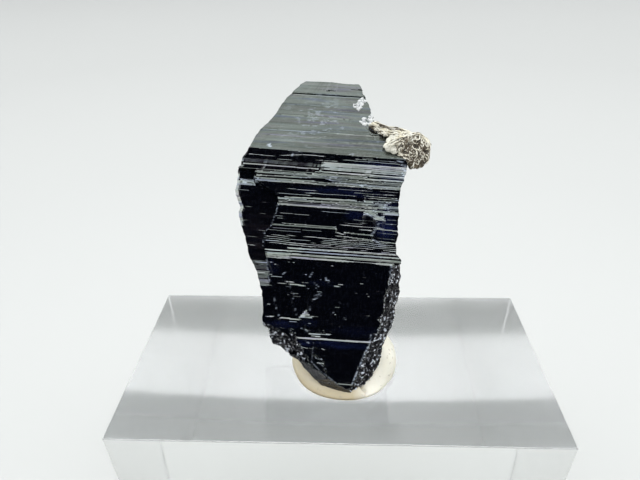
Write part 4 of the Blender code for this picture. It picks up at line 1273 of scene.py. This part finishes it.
def putty_height(across, back, settings):
    """Height of the pad above the block, in mm: low in front of the crystal and tall behind it."""
    rise = min(1.0, max(0.0, (back - PUTTY_LOW_END) / PUTTY_SLOPE_RUN))
    rise = rise * rise * (3 - 2 * rise)
    low = PUTTY_LOW_HEIGHT + 0.12 * min(1.0, abs(across) / 2.0)
    return low + (settings.putty_height / MM - low) * rise


def putty_crease(across, back):
    """Depth of the crease at a place, in mm, less the swelling beside it."""
    start, end = PUTTY_CREASE
    run = end - start
    part = min(1.0, max(0.0, (Vector((across, back)) - start).dot(run) / run.length_squared))
    gap = Vector((across, back)) - start - run * part
    beside = gap.x * run.y - gap.y * run.x
    fold = math.exp(-((gap.length / 0.09) ** 2))
    swell = math.exp(-((gap.length / 0.60) ** 2)) if beside > 0 else 0.0
    return 0.42 * fold - 0.22 * swell


def putty_point(ring, around, settings):
    """One point of the pad, across, back and up from its middle on the block, in mm."""
    dent = noise.noise(Vector((math.cos(around) * 2.0, math.sin(around) * 2.0, 3.0)))
    waist = PUTTY_WAIST - PUTTY_WAIST_DROP * min(1.0, max(0.0, -math.sin(around)))
    if ring < PUTTY_CURL:
        angle = -1.4 + 1.4 * ring / PUTTY_CURL
        share = 1.0 - PUTTY_FOOT * (1 - math.cos(angle))
    else:
        angle = math.pi / 2 * (ring - PUTTY_CURL) / PUTTY_RINGS
        share = max(0.0, math.cos(angle))
    radius = settings.putty_radius / MM * share
    across = radius * math.cos(around) * (1 + PUTTY_UNEVEN * dent)
    back = radius * math.sin(around) * (1 + PUTTY_UNEVEN * dent)
    if around > math.pi:
        back *= PUTTY_FRONT_SHARE
    if ring < PUTTY_CURL:
        return across, back, waist * (1 + math.sin(angle))
    height = waist + (putty_height(across, back, settings) - waist) * math.sqrt(1 - share**3.2)
    lump = noise.noise(Vector((across, back, 1.0)) * 0.9)
    return across, back, height + (0.10 * lump - putty_crease(across, back)) * (1 - share**6)


def build_putty(settings):
    rings = PUTTY_CURL + PUTTY_RINGS + 1
    middle = Vector((PUTTY_CENTRE.x, PUTTY_CENTRE.y, BLOCK_TOP))
    points = []
    for ring in range(rings):
        for step in range(PUTTY_AROUND):
            place = putty_point(ring, 2 * math.pi * step / PUTTY_AROUND, settings)
            points.append(middle + Vector(place) * MM)
    foot = range(PUTTY_AROUND)[::-1]
    putty = mesh_object("putty", points, [*ring_quads(rings, PUTTY_AROUND).tolist(), foot])
    bm = bmesh.new()
    bm.from_mesh(putty.data)
    bmesh.ops.remove_doubles(bm, verts=bm.verts, dist=0.000001)
    bm.to_mesh(putty.data)
    bm.free()
    putty.data.shade_smooth()
    putty.data.materials.append(putty_material(settings))
    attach(putty, "root")
    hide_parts("putty_pad")


def block_material(name, colour, clearness, roughness, settings):
    """A surface of the block, clear or painted by how much light it lets through."""
    return new_material(name, **{
        "Base Color": (*colour, 1.0), "Transmission Weight": clearness,
        "IOR": settings.block_refraction, "Roughness": roughness})[0]


BLOCK_BEVEL = 0.05 * MM
# How far the strips of painted shade reach in from the underside's front and back edges
STRIP_REACH = 2.35 * MM
# The block's surfaces: polished sides, white underside and its strips of painted shade, each with
# its colour, how much light it lets through and its roughness
BLOCK_SURFACES = [
    ("acrylic_polished", (0.99, 1.0, 0.995), 1.0, 0.11),
    ("acrylic_underside", (0.98, 0.98, 0.97), 0.0, 0.5),
    ("acrylic_painted_shade_strip", (0.45, 0.46, 0.45), 0.0, 0.5),
]


def build_block(settings):
    size = BLOCK_HIGH - BLOCK_LOW
    middle = (BLOCK_HIGH + BLOCK_LOW) / 2
    bm = bmesh.new()
    bmesh.ops.create_cube(bm, size=1.0, matrix=Matrix.LocRotScale(middle, None, size))
    bmesh.ops.bevel(bm, geom=bm.edges[:], offset=BLOCK_BEVEL, segments=2, profile=0.5, affect="EDGES")
    for y in (BLOCK_LOW.y + STRIP_REACH, BLOCK_HIGH.y - STRIP_REACH):
        everything = bm.verts[:] + bm.edges[:] + bm.faces[:]
        bmesh.ops.bisect_plane(bm, geom=everything, plane_co=(0, y, 0), plane_no=(0, 1, 0))
    bm.normal_update()
    for face in bm.faces:
        place = face.calc_center_median()
        # The underside is white in the middle, with grey painted shade in the strips along its front and
        # back
        if face.normal.z < -0.9 and place.z < BLOCK_LOW.z + BLOCK_BEVEL / 4:
            face.material_index = 1 if abs(place.y - middle.y) < size.y / 2 - STRIP_REACH else 2
    block = link(bpy.data.objects.new("block", bpy.data.meshes.new("block")))
    bm.to_mesh(block.data)
    bm.free()
    for surface in BLOCK_SURFACES:
        block.data.materials.append(block_material(*surface, settings))
    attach(block, "root")
    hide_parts("acrylic_block")


# The camera looks down by the pitch, in degrees, turned a little aside and rolled
CAMERA_PITCH = 32.44
CAMERA_YAW = -2.69
CAMERA_ROLL = 1.20


def camera_turn():
    return (
        Matrix.Rotation(math.radians(-CAMERA_YAW), 4, "Z")
        @ Matrix.Rotation(math.radians(90 - CAMERA_PITCH), 4, "X")
        @ Matrix.Rotation(math.radians(-CAMERA_ROLL), 4, "Z")
    )


def build_camera(settings):
    camera = link(bpy.data.objects.new("camera", bpy.data.cameras.new("camera")))
    camera.data.sensor_width = 36.0
    camera.data.lens = settings.lens
    camera.data.clip_start = 0.001
    camera.matrix_world = Matrix.Translation(settings.camera_place) @ camera_turn()
    bpy.context.scene.camera = camera


# Painted pool of light on the floor: how its colour falls off with the distance from the middle, in metres
FLOOR_PAINTED_LIGHT_FALLOFF = [(0.03, 1.0), (0.09, 0.93), (0.20, 0.85), (0.45, 0.80)]
FLOOR_RADIUS = 0.45
FLOOR_CURVE = 0.15
FLOOR_DROP = 0.00003
FLOOR_AROUND = 64
WALL_TOP = (0.62, 0.45)


def floor_material(settings):
    material, tree, shader = new_material("floor_cloth", **{"Roughness": 0.9, "Specular IOR Level": 0.1})
    place = add_node(tree, "ShaderNodeTexCoord")
    distance = add_node(tree, "ShaderNodeVectorMath", operation="LENGTH")
    join(tree, place, "Object", distance, 0)
    colour = Vector(settings.floor_colour)
    stops = [(reach, tuple(colour * share)) for reach, share in FLOOR_PAINTED_LIGHT_FALLOFF]
    join(tree, ramp(tree, distance, "Value", stops), "Color", shader, "Base Color")
    return material


def build_floor(settings):
    """A pale dish: level under the object, and curving up into a wall far behind it."""
    rings = [(0.10, 0.0), (0.25, 0.0), (FLOOR_RADIUS, 0.0)]
    for turn in np.linspace(0.2, math.pi / 2, 8):
        rings.append((FLOOR_RADIUS + FLOOR_CURVE * math.sin(turn), FLOOR_CURVE * (1 - math.cos(turn))))
    rings.append(WALL_TOP)
    points = [(0.0, 0.0, -FLOOR_DROP)]
    for radius, height in rings:
        for step in range(FLOOR_AROUND):
            angle = 2 * math.pi * step / FLOOR_AROUND
            points.append((radius * math.cos(angle), radius * math.sin(angle), height - FLOOR_DROP))
    faces = [(0, 1 + step, 1 + (step + 1) % FLOOR_AROUND) for step in range(FLOOR_AROUND)]
    quads = 1 + ring_quads(len(rings), FLOOR_AROUND)[:, [0, 3, 2, 1]]
    floor = mesh_object("floor", points, faces + quads.tolist())
    floor.data.materials.append(floor_material(settings))
    floor.visible_glossy = False
    floor.visible_shadow = False


# Brightness and tint of the soft light by its direction: degrees up from the horizon on the
# viewer's side, over the zenith (90) to the horizon behind (180), and negative below
LIGHT_BANK = [
    (-180, 0.90, (1.0, 1.0, 1.0)), (-160, 0.40, (1.0, 1.0, 1.0)), (-118, 0.16, (1.0, 1.0, 1.0)),
    (-76, 0.11, (1.0, 0.98, 0.90)), (-45, 0.10, (0.95, 0.97, 1.0)), (-32, 0.06, (0.9, 0.95, 1.0)),
    (-24, 0.008, (0.7, 0.8, 1.0)), (-8, 0.004, (0.6, 0.7, 1.0)), (27, 0.005, (0.6, 0.7, 1.0)),
    (34, 0.040, (0.95, 0.72, 0.95)), (38, 0.20, (1.0, 0.82, 0.96)), (43, 0.75, (0.90, 0.98, 0.96)),
    (50, 1.80, (0.92, 0.97, 0.98)), (58, 3.00, (0.90, 0.92, 1.0)), (72, 3.10, (0.93, 0.94, 1.0)),
    (80, 2.30, (0.96, 0.98, 1.0)), (88, 2.10, (0.96, 1.0, 0.98)), (92, 2.00, (0.96, 1.0, 0.98)),
    (97, 1.85, (0.95, 1.0, 0.97)), (98.2, 1.50, (0.95, 1.0, 0.97)), (99.3, 0.60, (0.95, 1.0, 0.93)),
    (103.8, 0.68, (0.95, 1.0, 0.93)), (106.8, 1.25, (0.94, 1.0, 0.98)), (111, 1.50, (0.95, 1.0, 1.0)),
    (120, 1.60, (0.96, 1.0, 1.0)), (150, 1.80, (1.0, 1.0, 1.0)), (165, 1.60, (1.0, 1.0, 1.0)),
    (180, 0.90, (1.0, 1.0, 1.0)),
]
BANK_PEAK = 3.2
# Brightness of the light at the left and at the right, and how closely it keeps to the sides
SIDE_LIGHTS = (3.0, 1.9)
SIDE_POWER = 9.0


def build_world(settings):
    """A soft light bank overhead, dark toward the viewer and pale at both sides."""
    world = bpy.data.worlds.new("studio")
    world.use_nodes = True
    tree = world.node_tree
    background = tree.nodes["Background"]
    place = add_node(tree, "ShaderNodeTexCoord")
    parts = add_node(tree, "ShaderNodeSeparateXYZ")
    join(tree, place, "Generated", parts, "Vector")

    def math_node(operation, source, output, *constants):
        node = add_node(tree, "ShaderNodeMath", operation=operation)
        join(tree, source, output, node, 0)
        for socket, value in enumerate(constants, 1):
            node.inputs[socket].default_value = value
        return node

    forward = math_node("MULTIPLY", parts, "Y", -1.0)
    angle = math_node("ARCTAN2", parts, "Z")
    join(tree, forward, 0, angle, 1)
    share = math_node("MULTIPLY_ADD", angle, 0, 0.5 / math.pi, 0.5)
    stops = []
    for degrees, level, tint in LIGHT_BANK:
        stops.append(((degrees + 180) / 360, tuple(Vector(tint) * (level / BANK_PEAK))))
    bank = ramp(tree, share, 0, stops)
    sideways = math_node("POWER", math_node("ABSOLUTE", parts, "X"), 0, SIDE_POWER)
    left, right = (grey(level / BANK_PEAK) for level in SIDE_LIGHTS)
    beside = ramp(tree, parts, "X", [(0.0, left), (1.0, right)])
    light = blend(tree, sideways, 0, (bank, "Color"), (beside, "Color"))
    join(tree, light, 2, background, "Color")
    background.inputs["Strength"].default_value = BANK_PEAK * settings.sky_strength
    bpy.context.scene.world = world


class ANATASE_OT_stage(Operator):
    """Set up the floor, the soft light and the camera"""
    bl_idname = "anatase.stage"
    bl_label = "Build stage"

    def execute(self, context):
        settings = context.scene.anatase_stage
        build_floor(settings)
        build_world(settings)
        build_camera(settings)
        context.scene.view_settings.view_transform = "Standard"
        return {"FINISHED"}


class ANATASE_OT_crystal(Operator):
    """Build the striated crystal"""
    bl_idname = "anatase.crystal"
    bl_label = "Build crystal"

    def execute(self, context):
        build_crystal(context.scene.anatase_crystal)
        return {"FINISHED"}


class ANATASE_OT_rock(Operator):
    """Build the rock scrap and the white crust grains"""
    bl_idname = "anatase.rock"
    bl_label = "Build rock and crust"

    def execute(self, context):
        build_rock(context.scene.anatase_rock, seat_matrix(context.scene.anatase_crystal))
        return {"FINISHED"}


class ANATASE_OT_putty(Operator):
    """Build the putty pad"""
    bl_idname = "anatase.putty"
    bl_label = "Build putty"

    def execute(self, context):
        build_putty(context.scene.anatase_holder)
        return {"FINISHED"}


class ANATASE_OT_block(Operator):
    """Build the clear display block"""
    bl_idname = "anatase.block"
    bl_label = "Build block"

    def execute(self, context):
        build_block(context.scene.anatase_holder)
        return {"FINISHED"}


class ANATASE_PT_sidebar(Panel):
    """Lists the pieces and their settings"""
    bl_idname = "ANATASE_PT_sidebar"
    bl_label = "Anatase"
    bl_space_type = "VIEW_3D"
    bl_region_type = "UI"
    bl_category = "Anatase"

    def draw(self, context):
        for operator in OPERATORS:
            self.layout.operator(operator.bl_idname)
        for name, group in SETTINGS.items():
            settings = getattr(context.scene, name)
            for key in group.__annotations__:
                self.layout.prop(settings, key)


OPERATORS = (
    ANATASE_OT_stage, ANATASE_OT_crystal, ANATASE_OT_rock, ANATASE_OT_putty, ANATASE_OT_block)
SETTINGS = {
    "anatase_crystal": CrystalSettings,
    "anatase_rock": RockSettings,
    "anatase_holder": HolderSettings,
    "anatase_stage": StageSettings,
}
CLASSES = (*SETTINGS.values(), *OPERATORS, ANATASE_PT_sidebar)


def register():
    for cls in CLASSES:
        bpy.utils.register_class(cls)
    for name, group in SETTINGS.items():
        setattr(bpy.types.Scene, name, PointerProperty(type=group))


def unregister():
    for name in SETTINGS:
        delattr(bpy.types.Scene, name)
    for cls in reversed(CLASSES):
        bpy.utils.unregister_class(cls)


def main():
    register()
    bpy.ops.anatase.stage()
    bpy.ops.anatase.crystal()
    bpy.ops.anatase.rock()
    bpy.ops.anatase.putty()
    bpy.ops.anatase.block()


if __name__ == "__main__":
    main()
